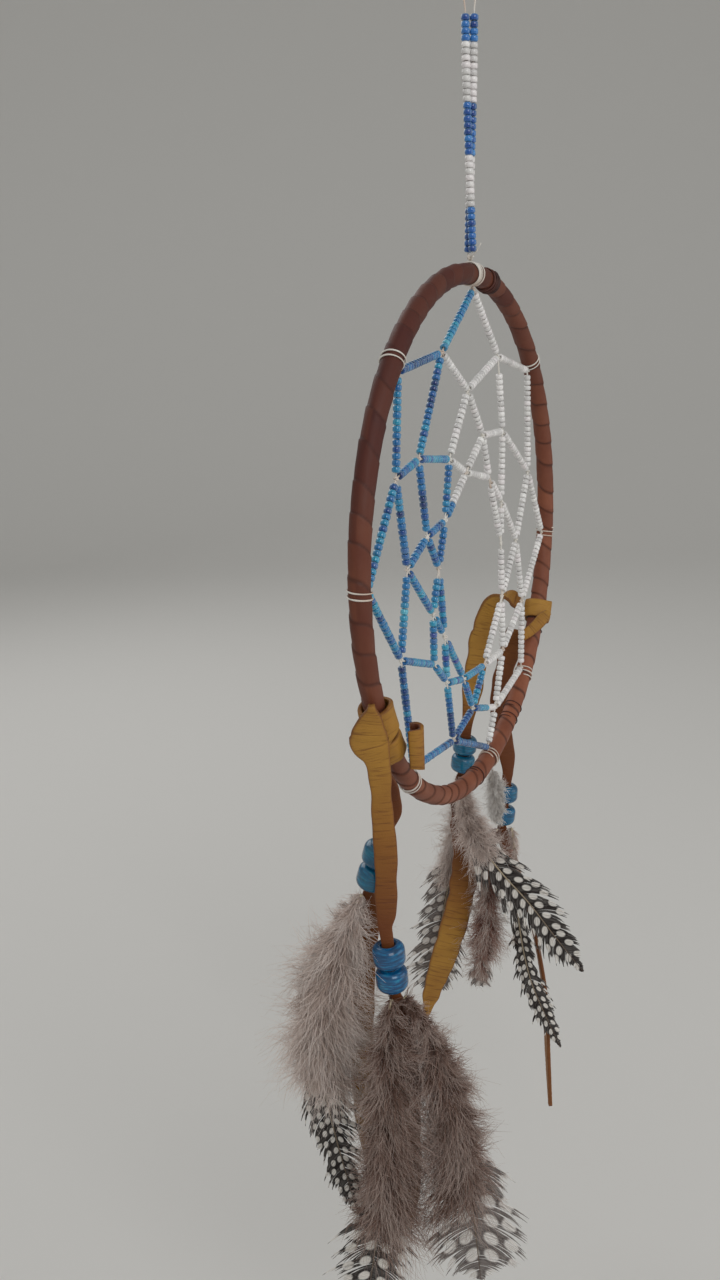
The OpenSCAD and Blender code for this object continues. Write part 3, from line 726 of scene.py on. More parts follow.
def strapPart(rows, stops, seed, crown):
    # a flat strip with eased edges along a smooth line: its section is a rounded oblong that cups a
    # little, its edges wander, and fine waves cross its faces; stops are (millimetres down it, tone)
    rows = np.array([list(row) + ([leather["faceTurn"]] if len(row) == 4 else []) for row in rows])
    _, length = smoothLine(rows, 12)
    count = int(length / leather["step"]) + 2
    smooth, length = smoothLine(rows, count)
    line, half, turns = smooth[:, :3], np.maximum(smooth[:, 3], 0.6 * mm), smooth[:, 4]
    along, across, out = framesAlong(line, turns)
    run = np.linspace(0, length, count) / mm
    half = half * (1 + 0.05 * waves(run, 4, 0.1, 0.9, seed))
    angle = fullTurn(leather["sides"])
    x, y = boxy(np.cos(angle), leather["boxy"]), boxy(np.sin(angle), leather["boxy"])
    thin = leather["thickness"] / 2
    cup = crown * thin * (1 - x[None] ** 2) * 2
    fading = 0.6 + 0.4 * np.cos(2.2 * x[None] + run[:, None] * 0.3)
    ripple = leather["wrinkle"] * waves(run, 7, 0.8, 3.4, seed + 1)[:, None] * fading
    height = thin * y[None] * 0.92 + cup + ripple
    rings = (line[:, None] + (half[:, None] * x[None])[..., None] * across[:, None]
             + height[..., None] * out[:, None])
    part = tubes(rings[None])
    size = rings.shape[:2]
    part["grain"] = onGrid(size, half[:, None] * x[None] / mm, run[:, None], y[None] * 2)
    part["edge"] = onGrid(size, np.clip((np.abs(x[None]) - 0.86) / 0.14, 0, 1) * 0.75)
    places, tones = zip(*stops)
    part["tone"] = np.repeat(np.interp(run, places, tones), leather["sides"])
    return part, line, length


def makeThong(tail, nodes, rows, stops, seed, bend=None):
    # one leather strap; given a bend (upper body, start, end), the strap is left without a body and its
    # transform baked, and the bend's values are not read
    name, body = pieceName(tail) + "Thong", tail + "_thong"
    part, line, length = strapPart(rows, stops, seed, leather["crown"])
    piece = makePiece(name, [part], None if bend else body, "thongLeather", nodes)
    if bend:
        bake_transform(piece)
    print(name, round(length * 1000, 1), "mm")


def makeThongs():
    # (millimetres down the strip, tone) stops turn it from mustard, 1, to dark brown, 0
    makeThong("left_front", ["left_cape", "left_front_thong"], leftFrontRoute,
              [(0, 1.0), (26, 0.95), (45, 0.6), (66, 0.3), (110, 0.3), (165, 0.8)], 3,
              ("hoop", [-0.0726, -0.0003, -0.184], [-0.071, 0.0, -0.1915]))
    makeThong("left_back", ["left_back_thong"], leftBackRoute,
              [(0, 0.1), (60, 0.4), (85, 0.9), (140, 1.0)], 5)
    makeThong("right_front", ["right_front_thong"], rightFrontRoute,
              [(0, 0.5), (30, 0.2), (90, 0.3), (200, 0.7)], 7)
    makeThong("right_back", ["right_arch", "right_back_thong"], rightBackRoute,
              [(0, 0.6), (8, 1.0), (45, 1.0), (62, 0.3), (90, 0.1), (110, 0.4), (150, 1.0)], 9,
              ("hoop", [0.061, 0.018, -0.1915], [0.0608, 0.0196, -0.2]))


makeThongs()
print("cords are laid")


hoop = {"radius": 75.0 * mm, "wrapRadius": 2.9 * mm, "turns": 63, "step": 0.42 * mm, "aroundHoop": 1840,
        "aroundTube": 30}


def onHoop(angle, reach, spin):
    # a point at an angle on the hoop, and at a reach and spin round its tube: 0 is outward and 90 is back
    radial = hoop["radius"] + reach * np.cos(spin)
    place = np.stack([radial * np.cos(angle), reach * np.sin(spin), radial * np.sin(angle)], -1)
    return place + hoopMiddle


def makeWrap():
    # the tube's radius follows a saw-tooth along a spiral, so that each turn of the strip lies on the
    # last; the spiral's spacing wanders; the strip is painted lighter and darker round the hoop as light
    # and shade, and its cut edge is dark, partly its own colour and partly a painted shadow under each step
    angle, spin = fullTurn(hoop["aroundHoop"])[:, None], fullTurn(hoop["aroundTube"])[None]
    wander = (0.4 * np.sin(3 * angle + 1.0) + 0.16 * np.sin(8 * angle + 2.0)
              + 0.1 * np.sin(17 * angle + 0.4) + 0.06 * np.sin(2 * spin + 5 * angle))
    phase = (hoop["turns"] * angle + spin) / (2 * np.pi) + wander
    place = phase - np.floor(phase)
    turn = np.floor(phase)
    own = np.sin(turn * 12.9898) * 43758.5453
    own = own - np.floor(own)
    lip = np.clip(place / 0.05, 0, 1)
    fall = 1 - np.clip((place - 0.05) / 0.95, 0, 1)
    reach = hoop["wrapRadius"] - hoop["step"] * (1 - lip * (0.35 + 0.65 * fall)) * (0.7 + 0.3 * own)
    reach = reach + 0.05 * mm * np.sin(5 * spin + 40 * angle) * np.sin(23 * angle)
    rings = onHoop(np.broadcast_to(angle, reach.shape), reach, np.broadcast_to(spin, reach.shape))
    part = tubes(rings[None], looped=True)
    # painted light and shade: the strip is coloured lighter towards one side of the hoop and darker towards the
    # other, as the light falls
    paintedLightRound = 0.5 + 0.5 * np.cos(angle + np.radians(62))
    part["tone"] = np.clip(0.75 * paintedLightRound + 0.3 * own - 0.05, 0, 1).ravel()
    # the cut edge's own dark colour just past the lip, and a painted shadow at the foot of each step; both
    # stronger where the painted light is higher
    cutEdgeAndShadow = np.exp(-((place - 0.02) / 0.04) ** 2) + np.exp(-((1 - place) / 0.055) ** 2)
    part["edge"] = (np.clip(cutEdgeAndShadow, 0, 1) * (0.45 + 0.5 * paintedLightRound) * (0.6 + 0.4 * own)).ravel()
    makePiece("hoopWrap", [part], "hoop", "wrapLeather", ["hoop_wrap"])


def winding(degrees, turns, pitch, thick, reach, start=0.0):
    # thread wound round the tube: each turn moves the angle on the hoop on by the pitch
    t = np.linspace(0, 1, int(28 * turns) + 2)
    spin = start + 2 * np.pi * turns * t
    angle = np.radians(degrees) + (t - 0.5) * turns * pitch / hoop["radius"]
    sink = 1 - 0.25 * (np.exp(-(t / 0.04) ** 2) + np.exp(-((1 - t) / 0.04) ** 2))
    return roundCord(onHoop(angle, (hoop["wrapRadius"] + reach) * sink ** 0.5, spin), thick, 6, 1.4 * mm)


def makeWindings():
    # web ties at their angles, the tie under the loop, and dark thread on the wrap's ends
    tieAngles = [88.4, 135.5, 180.8, 230.7, -77.9, -46.7, -6.4, 42.2]
    ties = []
    for k, degrees in enumerate(tieAngles):
        ties.append(winding(degrees, 2.2, 1.5 * mm * (1 if k % 2 else -1), 0.24 * mm, 0.16 * mm, 0.7 * k))
    makePiece("webTies", ties, "hoop", "thread", ["web_ties"])
    makePiece("loopTie", [winding(90.3, 3.1, 0.55 * mm, 0.26 * mm, 0.2 * mm, 2.0)], "hoop", "thread",
              ["loop_tie"])
    bound = [winding(81 - 1.5 * k, 2.6, 0.5 * mm, 0.24 * mm, 0.22 * mm + 0.1 * mm * (k % 2), 1.3 * k)
             for k in range(3)]
    bound.append(winding(79.0, 1.4, -3.4 * mm, 0.22 * mm, 0.5 * mm, 0.4))
    makePiece("wrapEndTie", bound, "hoop", "darkThread", ["wrap_end_tie"])
    dark = [winding(degrees, 1.3, -1.6 * mm, 0.2 * mm, 0.1 * mm, 2.0)
            for degrees in (-30, -34, -58, -62, -88)]
    makePiece("darkBinding", dark, "hoop", "darkThread", ())


band = {"thickness": 1.3 * mm, "gap": 0.2 * mm}


def ringAround(name, node, degrees, lower, upper, seed, tone, bulges):
    # a leather band round the tube: its section is a rounded oblong between a lower and an upper edge
    # along the tube, both swelling where a bulge (spin, width, lower add, upper add, lift) says
    thick, reach = band["thickness"], band["gap"]
    spin = fullTurn(96)
    low, high = np.full(96, lower * mm), np.full(96, upper * mm)
    lift = 0.12 * mm * waves(np.cos(spin) * 3 + np.sin(spin) * 5, 5, 0.5, 1.6, seed)
    for at, width, addLow, addHigh, addLift in bulges:
        off = np.angle(np.exp(1j * (spin - np.radians(at))))
        swell = np.exp(-(off / np.radians(width)) ** 2)
        low, high = low - addLow * mm * swell, high + addHigh * mm * swell
        lift = lift + addLift * mm * swell
    side = fullTurn(28)
    x, y = boxy(np.cos(side), 0.4), boxy(np.sin(side), 0.4)
    s = (low + high)[:, None] / 2 + (high - low)[:, None] / 2 * x[None]
    fine = 0.06 * mm * waves(s / mm + 3 * spin[:, None], 6, 0.8, 2.6, seed + 4)
    out = hoop["wrapRadius"] + reach + thick / 2 + lift[:, None] + thick / 2 * y[None] + fine
    spins = np.broadcast_to(spin[:, None], out.shape)
    rings = onHoop(np.radians(degrees) + s / hoop["radius"], out, spins)
    part = tubes(rings[None], looped=True)
    part["grain"] = onGrid(s.shape, spin[:, None] * 4, s / mm, y[None] * 2)
    part["edge"] = onGrid(s.shape, np.clip((np.abs(x[None]) - 0.88) / 0.12, 0, 1) * 0.5)
    part["tone"] = np.full(s.size, tone)
    makePiece(name, [part], "hoop", "thongLeather", [node])


def rolledLeather(roll):
    # a short strip curled round a vertical line: a thick arc, open behind, drawn down the line with a
    # slight flare and a slanted top
    t = np.linspace(0, 1, 22)[:, None, None]
    line = np.array(roll["top"]) + t * (np.array(roll["foot"]) - np.array(roll["top"]))
    bend = np.radians(np.linspace(-195, 50, 26))
    outer = roll["outer"] * (1 + 0.03 * np.sin(3 * bend)[None] + 0.08 * (1 - t[:, :, 0]))
    inner = outer - (roll["outer"] - roll["inner"])
    outside, inside = (np.stack([reach * np.cos(bend), reach * np.sin(bend), 0 * reach], -1)
                       for reach in (outer, inner))
    ring = np.concatenate([outside, inside[:, ::-1]], 1)
    ring[..., 2] = 0.25 * ring[..., 0] * (1 - 2 * t[:, :, 0])
    part = tubes((line + ring)[None])
    size = ring.shape[:2]
    # painted shade: the outside runs from light to darker round the curl, as light falls on a roll; the inside
    # is dark
    tone = np.concatenate([np.linspace(0.95, 0.5, 26), np.full(26, 0.1)])
    part["tone"] = onGrid(size, tone[None])
    edge = np.where(np.isin(np.arange(52), [0, 25, 26, 51]), 0.4, 0.0)
    part["edge"] = onGrid(size, edge[None])
    around = np.concatenate([bend, bend[::-1]])[None] * 2.3
    part["grain"] = onGrid(size, around, t[:, :, 0] * 11, 0.0)
    return part


def makeKnots():
    # the bands of both knots, the folded end on the right and the roll on the left
    ringAround("leftFrontBand", "left_front_band", 207, -4, 4, 11, 0.95,
               [(-100, 40, 1.0, 0.2, 0.3), (-35, 30, 0, 2.2, 0.3)])
    ringAround("leftBackBand", "left_back_band", 214.4, -3.6, 3.8, 13, 0.9, [(170, 50, 0, 1.2, 0.4)])
    ringAround("rightBand", "right_band", -28, -3.2, 3.4, 17, 1.0,
               [(-60, 35, 0.6, 0.6, 0.7), (30, 40, 1.6, 0.4, 0.2)])
    fold, _, _ = strapPart(rightFoldRoute, [(0, 1.0), (14, 0.8)], 19, 0.5)
    makePiece("rightFold", [fold], "hoop", "thongLeather", ["right_fold"])
    makePiece("leftBight", [rolledLeather(leftBight)], "hoop", "thongLeather", ["left_bight"])


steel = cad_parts["hoop_ring"]       # the ring inside the wrap keeps its own mesh
steel.data.materials.clear()
steel.data.materials.append(finishes["steel"])
makeWrap()
makeWindings()
makeKnots()
print("hoop is wrapped")


tiePoints = [[2, 71], [-50.6, 49.7], [-71, -1], [-45, -55], [14.9, -69.4], [48.7, -51.7], [70.5, -7.9],
             [52.6, 47.7]]
webA = [[-22, 54], [-53, 24], [-52, -23], [-15.5, -57], [22, -58], [49, -28], [54, 15], [23.5, 52.5]]
webB = [[-38.5, 27.5], [-47, 0], [-29.5, -30], [-20, -38], [1, -52], [29, -40.5], [42, -6], [28, 30],
        [-2.5, 43.5]]
webC = [[-33.5, 6.5], [-30, -15.5], [-6.5, -40.5], [11.5, -41], [28, -22.5], [27, 8.5], [10, 30],
        [-17, 25.5]]
webD = [[-25.5, -3.5], [-21.5, -24], [27, -5], [15.5, 17], [-4, 20.5], [-20.5, 9]]


def webPoint(point):
    # the web's drawing, in millimetres across and up from the hoop's middle, as a place in its plane
    return np.array([point[0], 0, point[1]]) * mm + hoopMiddle


def between(first, last, count):
    # even steps of the straight line from first to last
    return first + np.linspace(0, 1, count)[:, None] * (last - first)


def strandsOf(path, share):
    # one strand between each two neighbours on the path
    return [(tuple(path[k]), tuple(path[k + 1]), share, 0.0) for k in range(len(path) - 1)]


def webRounds():
    # the strands of each round of the web: start, end, share of blue beads, and bare length at the end
    t, a, b, c, d = tiePoints, webA, webB, webC, webD
    return [
        strandsOf([t[0], a[0], t[1], a[1], t[2], a[2], t[3], a[3], t[4]], 1)
        + strandsOf([t[4], a[4], t[5], a[5], t[6], a[6], t[7], a[7], t[0]], 0),
        strandsOf([a[0], b[0], a[1], b[1], a[2], b[2], b[3], a[3], b[4]], 1)
        + [(tuple(b[4]), tuple(a[4]), 0.65, 0.0)]
        + strandsOf([a[4], b[5], a[5], b[6], a[6], b[7]], 0)
        + [(tuple(b[7]), tuple(a[7]), 0, 5.0)] + strandsOf([a[7], b[8], a[0]], 0),
        strandsOf([c[7], b[0], c[0], b[1], c[1], b[2]], 1) + strandsOf([b[3], c[2], b[4], c[3]], 1)
        + strandsOf([c[3], b[5], c[4], b[6], c[5], b[7], c[6], b[8], c[7]], 0),
        strandsOf([c[7], d[5], c[0], d[0], c[1], d[1], b[3]], 1) + strandsOf([c[2], c[3]], 1)
        + strandsOf([c[3], c[4], d[2], c[5], d[3], c[6], d[4], c[7]], 0),
        strandsOf([d[5], d[0], d[1], c[2]], 1) + [(tuple(d[5]), tuple(d[4]), 0.35, 0.0)]
        + strandsOf([d[2], d[3], d[4]], 0),
    ]


def beadInset(p, q, strands):
    # how far from its end at p the strand to q starts its beads, so that neighbours stay clear: half a
    # bead's width over the sine of half the angle between two strands
    farthest = -1.0
    for start, end, share, bare in strands:
        if p not in (start, end):
            continue
        other = end if start == p else start
        if other == q:
            continue
        first, second = unit(np.subtract(q, p)), unit(np.subtract(other, p))
        angle = np.degrees(np.arccos(np.clip(first @ second, -1, 1)))
        room = min(3.2, 0.62 * seedBead["diameter"] / 2 / np.sin(np.radians(min(90.0, angle / 2))))
        farthest = max(farthest, room - (0.3 if angle > 90 else 0.0))
    return max(farthest, 1.1)


def beadRow(strand, strands):
    # the middles of one strand's beads, evenly spaced in its free length, and which of them are blue
    start, end, share, bare = strand
    span = np.subtract(end, start)
    length = np.linalg.norm(span)
    inset = beadInset(start, end, strands)
    free = length - inset - max(beadInset(end, start, strands), bare)
    count = max(1, int(np.floor((free + seedBead["pitch"] - seedBead["length"]) / seedBead["pitch"])))
    first = inset + (free - count * seedBead["pitch"]) / 2
    k = np.arange(count) + 0.5
    flat = np.array(start) + np.outer(first + k * seedBead["pitch"], span / length)
    middles = np.stack([flat[:, 0], 0 * k, flat[:, 1]], 1) * mm + hoopMiddle
    axes = np.tile([span[0] / length, 0.0, span[1] / length], (count, 1))
    return middles, axes, k / count < share


def makeWebBeads():
    # every round's beads in two pieces, one blue and one white
    rounds = webRounds()
    strands = [strand for group in rounds for strand in group]
    for number, group in enumerate(rounds, 1):
        rows = [beadRow(strand, strands) for strand in group]
        middles, axes, blue = (np.concatenate(column) for column in zip(*rows))
        # blue shades run in stretches along the web, with odd beads between
        drift = waves(middles[:, 0] / mm * 0.6 + middles[:, 2] / mm, 4, 0.05, 0.22, 31)
        tones = np.clip(0.45 + 0.22 * drift + dice.normal(0, 0.17, len(drift)), 0, 1)
        part = beadParts(middles[blue], axes[blue], tones[blue])
        makePiece("webBlueBeads" + str(number), [part], "hoop", "webBlue",
                  ["web_blue_beads_" + str(number)])
        white = ~blue
        part = beadParts(middles[white], axes[white], dice.uniform(0, 1, white.sum()))
        makePiece("webWhiteBeads" + str(number), [part], "hoop", "pearl",
                  ["web_white_beads_" + str(number)])


def littleKnot(middle, size, thick, seedNumber):
    # an overhand knot: a trefoil line with a thread's radius round it, turned at random
    own = np.random.default_rng(seedNumber)
    t = fullTurn(22)
    line = np.stack([np.sin(t) + 2 * np.sin(2 * t), np.cos(t) - 2 * np.cos(2 * t), -np.sin(3 * t)], 1) / 3
    turn, _ = np.linalg.qr(own.normal(size=(3, 3)))
    line = line @ turn * size
    across, out = roundFrames(unit(np.roll(line, -1, 0) - np.roll(line, 1, 0)))
    rings = line[:, None] + thick * circleOf(fullTurn(6), across, out)
    return tubes((rings + middle)[None], looped=True)


def makeWebThread():
    # a straight plied thread along every strand, and a knot where strands meet
    rounds = webRounds()
    cords, knots = [], []
    flat = {point for group in rounds for strand in group for point in strand[:2]}
    for start, end, share, bare in [strand for group in rounds for strand in group]:
        first, last = webPoint(start), webPoint(end)
        line = between(first, last, int(np.linalg.norm(last - first) / 0.45 / mm) + 2)
        cords.append(roundCord(line, seedBead["threadRadius"] * mm * 1.15, 6, 1.5 * mm))
    for k, point in enumerate(sorted(flat)):
        knots.append(littleKnot(webPoint(point), 0.62 * mm, 0.24 * mm, k))
    # short runs that carry the web's ends to the hoop's tube
    for point in tiePoints:
        rim = np.array(point) / np.linalg.norm(point) * 72.4
        cords.append(roundCord(between(webPoint(point), webPoint(rim), 5), 0.3 * mm, 6, 1.5 * mm))
    makePiece("webThread", cords, "hoop", "thread", ["web_thread"])
    makePiece("webKnots", knots, "hoop", "thread", ["web_knots"])
    # the loop's knot on top of the hoop, with a short tail of thread
    tail = np.array([[0, 0, 79.3], [-1.2, -0.9, 79.6], [-2.2, -2.6, 80.6], [-3.0, -4.2, 82.6]])
    tailLine, _ = smoothLine(tail * mm + hoopMiddle, 14)
    knot = littleKnot(webPoint((0.0, 79.35)), 0.85 * mm, 0.34 * mm, 91)
    makePiece("loopKnot", [knot, roundCord(tailLine, 0.22 * mm, 6, 1.2 * mm)], "knot", "thread",
              ["loop_knot"])


makeWebBeads()
makeWebThread()
print("web is strung")


plumes = {
    "leftFrontDark": {
        "node": "left_front_dark_feather", "down": "brownDown", "vane": "darkVane",
        "downSlot": "down", "vaneSlot": "dark_feather",
        "rows": [
            [-0.0656, -0.0014, -0.2636, 0.0008, 0.0006], [-0.0672, -0.001, -0.268, 0.0035, 0.0022],
            [-0.0695, -0.0008, -0.276, 0.0055, 0.0036], [-0.071, -0.0005, -0.288, 0.0065, 0.0042],
            [-0.0715, 0, -0.302, 0.007, 0.004], [-0.071, 0.0005, -0.316, 0.0085, 0.003],
            [-0.07, 0.002, -0.332, 0.01, 0.0016], [-0.069, 0.005, -0.35, 0.009, 0.001],
            [-0.0675, 0.008, -0.365, 0.0012, 0.0005]],
        "downCount": 5200, "downSpan": (0.0, 0.64), "downReach": 2.4, "bias": 0.45,
        "vaneSpan": (0.56, 1.0), "pitch": (5.0, 6.0), "vaneCount": 120, "sweep": 38, "fringe": 0.25,
        "seed": 41},
    "leftFrontGrey": {
        "node": "left_front_grey_feather", "down": "brownDown", "vane": "greyVane",
        "downSlot": "down", "vaneSlot": "down",
        "rows": [
            [-0.0628, -0.004, -0.2638, 0.0008, 0.0006], [-0.0618, -0.008, -0.269, 0.003, 0.0022],
            [-0.06, -0.0115, -0.278, 0.0055, 0.0034], [-0.058, -0.0145, -0.289, 0.0075, 0.004],
            [-0.0565, -0.017, -0.301, 0.009, 0.004], [-0.0555, -0.0185, -0.314, 0.0105, 0.003],
            [-0.055, -0.02, -0.328, 0.0115, 0.0016], [-0.055, -0.0215, -0.342, 0.011, 0.001],
            [-0.055, -0.023, -0.357, 0.0015, 0.0005]],
        "downCount": 5500, "downSpan": (0.0, 0.62), "downReach": 2.3, "bias": -0.55,
        "vaneSpan": (0.52, 1.0), "pitch": (6.2, 6.6), "vaneCount": 130, "sweep": 44, "fringe": 0.7,
        "seed": 43},
    "leftBack": {
        "node": "left_back_feather", "down": "greyDown", "vane": "darkVane",
        "downSlot": "down", "vaneSlot": "down",
        "rows": [
            [-0.0596, 0.0096, -0.2378, 0.0008, 0.0006], [-0.0614, 0.0115, -0.242, 0.0035, 0.0022],
            [-0.0635, 0.015, -0.251, 0.007, 0.004], [-0.065, 0.0195, -0.264, 0.01, 0.005],
            [-0.065, 0.022, -0.28, 0.0105, 0.005], [-0.0645, 0.0215, -0.296, 0.0085, 0.004],
            [-0.0635, 0.019, -0.312, 0.0065, 0.0024], [-0.0625, 0.016, -0.327, 0.0045, 0.0012],
            [-0.0615, 0.0125, -0.343, 0.001, 0.0005]],
        "downCount": 5500, "downSpan": (0.0, 0.5), "downReach": 2.55, "bias": 0.3,
        "vaneSpan": (0.5, 1.0), "pitch": (2.3, 3.2), "vaneCount": 120, "sweep": 30, "fringe": 0.25,
        "seed": 47},
    "rightFrontDown": {
        "node": "right_front_down_feather", "down": "redDown", "vane": "greyVane",
        "downSlot": "down", "vaneSlot": "down",
        "rows": [
            [0.06, 0.0124, -0.2686, 0.0008, 0.0006], [0.0576, 0.0132, -0.273, 0.0026, 0.002],
            [0.0562, 0.0136, -0.282, 0.004, 0.003], [0.0564, 0.014, -0.295, 0.0055, 0.0036],
            [0.0566, 0.0155, -0.31, 0.006, 0.0032], [0.0568, 0.017, -0.323, 0.005, 0.002],
            [0.057, 0.018, -0.335, 0.0012, 0.0006]],
        "downCount": 2900, "downSpan": (0.0, 0.9), "downReach": 2.4, "bias": 0.0,
        "vaneSpan": (0.8, 1.0), "pitch": (3.0, 3.6), "vaneCount": 30, "sweep": 26, "fringe": 0.6,
        "seed": 53},
    "rightFrontNarrow": {
        "node": "right_front_narrow_feather", "down": "greyDown", "vane": "darkVane",
        "downSlot": "down", "vaneSlot": "dark_feather",
        "rows": [
            [0.063, 0.0076, -0.2688, 0.0008, 0.0006], [0.0616, 0.006, -0.276, 0.0022, 0.0015],
            [0.0606, 0.005, -0.288, 0.003, 0.0018], [0.0604, 0.004, -0.302, 0.0036, 0.0018],
            [0.0604, 0.002, -0.316, 0.0044, 0.0016], [0.0604, -0.0016, -0.33, 0.0046, 0.0012],
            [0.0604, -0.0074, -0.343, 0.0034, 0.0009], [0.0604, -0.014, -0.356, 0.001, 0.0005]],
        "downCount": 1200, "downSpan": (0.0, 0.3), "downReach": 1.6, "bias": 0.0,
        "vaneSpan": (0.3, 1.0), "pitch": (2.4, 3.4), "vaneCount": 120, "sweep": 26, "fringe": 0.12,
        "seed": 59},
    "rightBackSpotted": {
        "node": "right_back_spotted_feather", "down": "greyDown", "vane": "darkVane",
        "downSlot": "down", "vaneSlot": "dark_feather",
        "rows": [
            [0.0569, 0.0254, -0.2489, 0.0008, 0.0006], [0.054, 0.024, -0.2535, 0.003, 0.0022],
            [0.0505, 0.02, -0.263, 0.0065, 0.0032], [0.048, 0.014, -0.271, 0.008, 0.0026],
            [0.0475, 0.006, -0.28, 0.0085, 0.0018], [0.0475, -0.004, -0.2895, 0.0075, 0.0012],
            [0.0475, -0.015, -0.302, 0.005, 0.0009], [0.0475, -0.0255, -0.3135, 0.001, 0.0005]],
        "downCount": 2900, "downSpan": (0.0, 0.3), "downReach": 1.9, "bias": 0.0,
        "vaneSpan": (0.2, 1.0), "pitch": (4.0, 4.2), "vaneCount": 150, "sweep": 30, "fringe": 0.3,
        "seed": 61},
    "rightBackGrey": {
        "node": "right_back_grey_feather", "down": "greyDown", "vane": "greyVane",
        "downSlot": "grey_feather", "vaneSlot": "grey_feather",
        "rows": [
            [0.061, 0.0266, -0.2489, 0.0008, 0.0006], [0.063, 0.0274, -0.2535, 0.003, 0.002],
            [0.064, 0.028, -0.263, 0.006, 0.003], [0.064, 0.03, -0.278, 0.008, 0.003],
            [0.064, 0.033, -0.295, 0.009, 0.0024], [0.064, 0.0365, -0.313, 0.01, 0.0016],
            [0.064, 0.039, -0.332, 0.009, 0.001], [0.064, 0.0415, -0.353, 0.0012, 0.0005]],
        "downCount": 2900, "downSpan": (0.0, 0.4), "downReach": 1.7, "bias": 0.0,
        "vaneSpan": (0.3, 1.0), "pitch": (4.2, 4.6), "vaneCount": 130, "sweep": 36, "fringe": 0.3,
        "seed": 67},
}


def barbLines(roots, start, finish, lengths, steps, wobble, own):
    # each barb leaves its root along start and bends steadily to finish, with a small sideways wave
    t = np.linspace(0, 1, steps)[None, :, None]
    lengths = lengths[:, None, None]
    line = roots[:, None] + lengths * ((t - t ** 2 / 2) * start[:, None] + t ** 2 / 2 * finish[:, None])
    side = unit(np.cross(start, own.normal(size=start.shape)))[:, None]
    phase = own.uniform(0, 6.28, (len(roots), 1, 1))
    return line + wobble * lengths * t * np.sin(5.0 * t + phase) * side


def threeSided(lines, radii):
    # thin three-sided barbs along many lines at once
    across, out = roundFrames(unit(np.gradient(lines, axis=1)))
    corners = circleOf(np.radians([0, 120, 240]), across, out)
    return tubes(lines[:, :, None] + radii[:, :, None, None] * corners)


downMake = {
    "barbs": 10, "droop": 0.4, "shortest": 2.6 * mm, "longest": 24.0 * mm, "wobble": 0.18,
    "taper": [1.0, 0.95, 0.85, 0.6, 0.25],
    # the inner layer is short and dark, the outer long and pale
    "Down": {"reach": 0.62, "thick": (0.08, 0.13), "tone": (0.0, 0.6)},
    "Fluff": {"reach": 1.0, "thick": (0.05, 0.085), "tone": (0.25, 1.0)},
}


def plumeShape(rows, steps, leastWidth, leastDepth):
    # the smooth line through the rows, its half width and depth, its frame, and its run in millimetres
    smooth, length = smoothLine(rows, steps)
    along, across, out = framesAlong(smooth[:, :3], leather["faceTurn"])
    return {"spine": smooth[:, :3], "width": np.maximum(smooth[:, 3], leastWidth),
            "depth": np.maximum(smooth[:, 4], leastDepth), "along": along, "across": across, "out": out,
            "run": np.linspace(0, length, steps) / mm}


def makeDown(name, look, layer, shape, own):
    # down stands out all round the quill in tufts: the barbs of a tuft share a root and a direction, and
    # all droop towards the tip
    low, high = look["downSpan"]
    kind, each = downMake[layer], downMake["barbs"]
    tufts = look["downCount"] // each
    count = each * tufts
    at = np.repeat(own.uniform(low, high, tufts) ** 0.9, each) + own.normal(0, 0.004, count)
    index = np.clip((at * (len(shape["spine"]) - 1)).astype(int), 0, len(shape["spine"]) - 1)
    spine, width, depth, across, out, along = (
        shape[key][index] for key in ("spine", "width", "depth", "across", "out", "along"))
    angle = np.repeat(own.uniform(0, 2 * np.pi, tufts), each) + own.normal(0, 0.22, count)
    lean = np.repeat(own.uniform(0.0, 1.1, (tufts, 1)), each, 0)
    stray = np.repeat(own.normal(0, 0.48, (tufts, 3)), each, 0)
    sideways = np.cos(angle)[:, None] * across + 0.8 * np.sin(angle)[:, None] * out
    start = unit(sideways + lean * along + 0.5 * stray + own.normal(0, 0.1, (count, 3)))
    finish = unit(0.5 * sideways + (downMake["droop"] + lean) * along + stray
                  + own.normal(0, 0.2, (count, 3)))
    reach = np.hypot(width * np.cos(angle), np.maximum(depth * 1.8, 0.75 * width) * np.sin(angle))
    share = np.repeat(own.uniform(0.4, 1.12, tufts), each) * own.uniform(0.7, 1.1, count)
    lopsided = 1 + look["bias"] * np.cos(angle)
    lengths = (np.maximum(reach, downMake["shortest"]) * look["downReach"] * share * lopsided
               * kind["reach"])
    lengths = np.minimum(lengths, downMake["longest"])
    lines = barbLines(spine, start, finish, lengths, len(downMake["taper"]), downMake["wobble"], own)
    thick = own.uniform(*kind["thick"], (count, 1))
    part = threeSided(lines, thick * mm * np.array(downMake["taper"])[None])
    paler = np.linspace(*kind["tone"], len(downMake["taper"]))
    tone = np.clip(paler[None] + np.repeat(own.normal(0, 0.16, (tufts, 1)), each, 0), 0, 1)
    part["tone"] = np.repeat(tone.ravel(), 3)
    # the inner layer stands for the part's own node
    makePiece(name + layer, [part], look.get("body", look["node"]), look["down"],
              [look["node"]] if layer == "Down" else ())


def vaneProfile(t):
    # the vane's width along its length: it fills out fast and closes to a blunt point
    return np.clip(t / 0.12, 0, 1) ** 0.7 * np.clip((1 - t) / 0.22, 0, 1) ** 0.55


vaneMake = {"steps": 9, "thick": 0.05 * mm, "cover": 0.64, "clump": 7, "spread": 12}


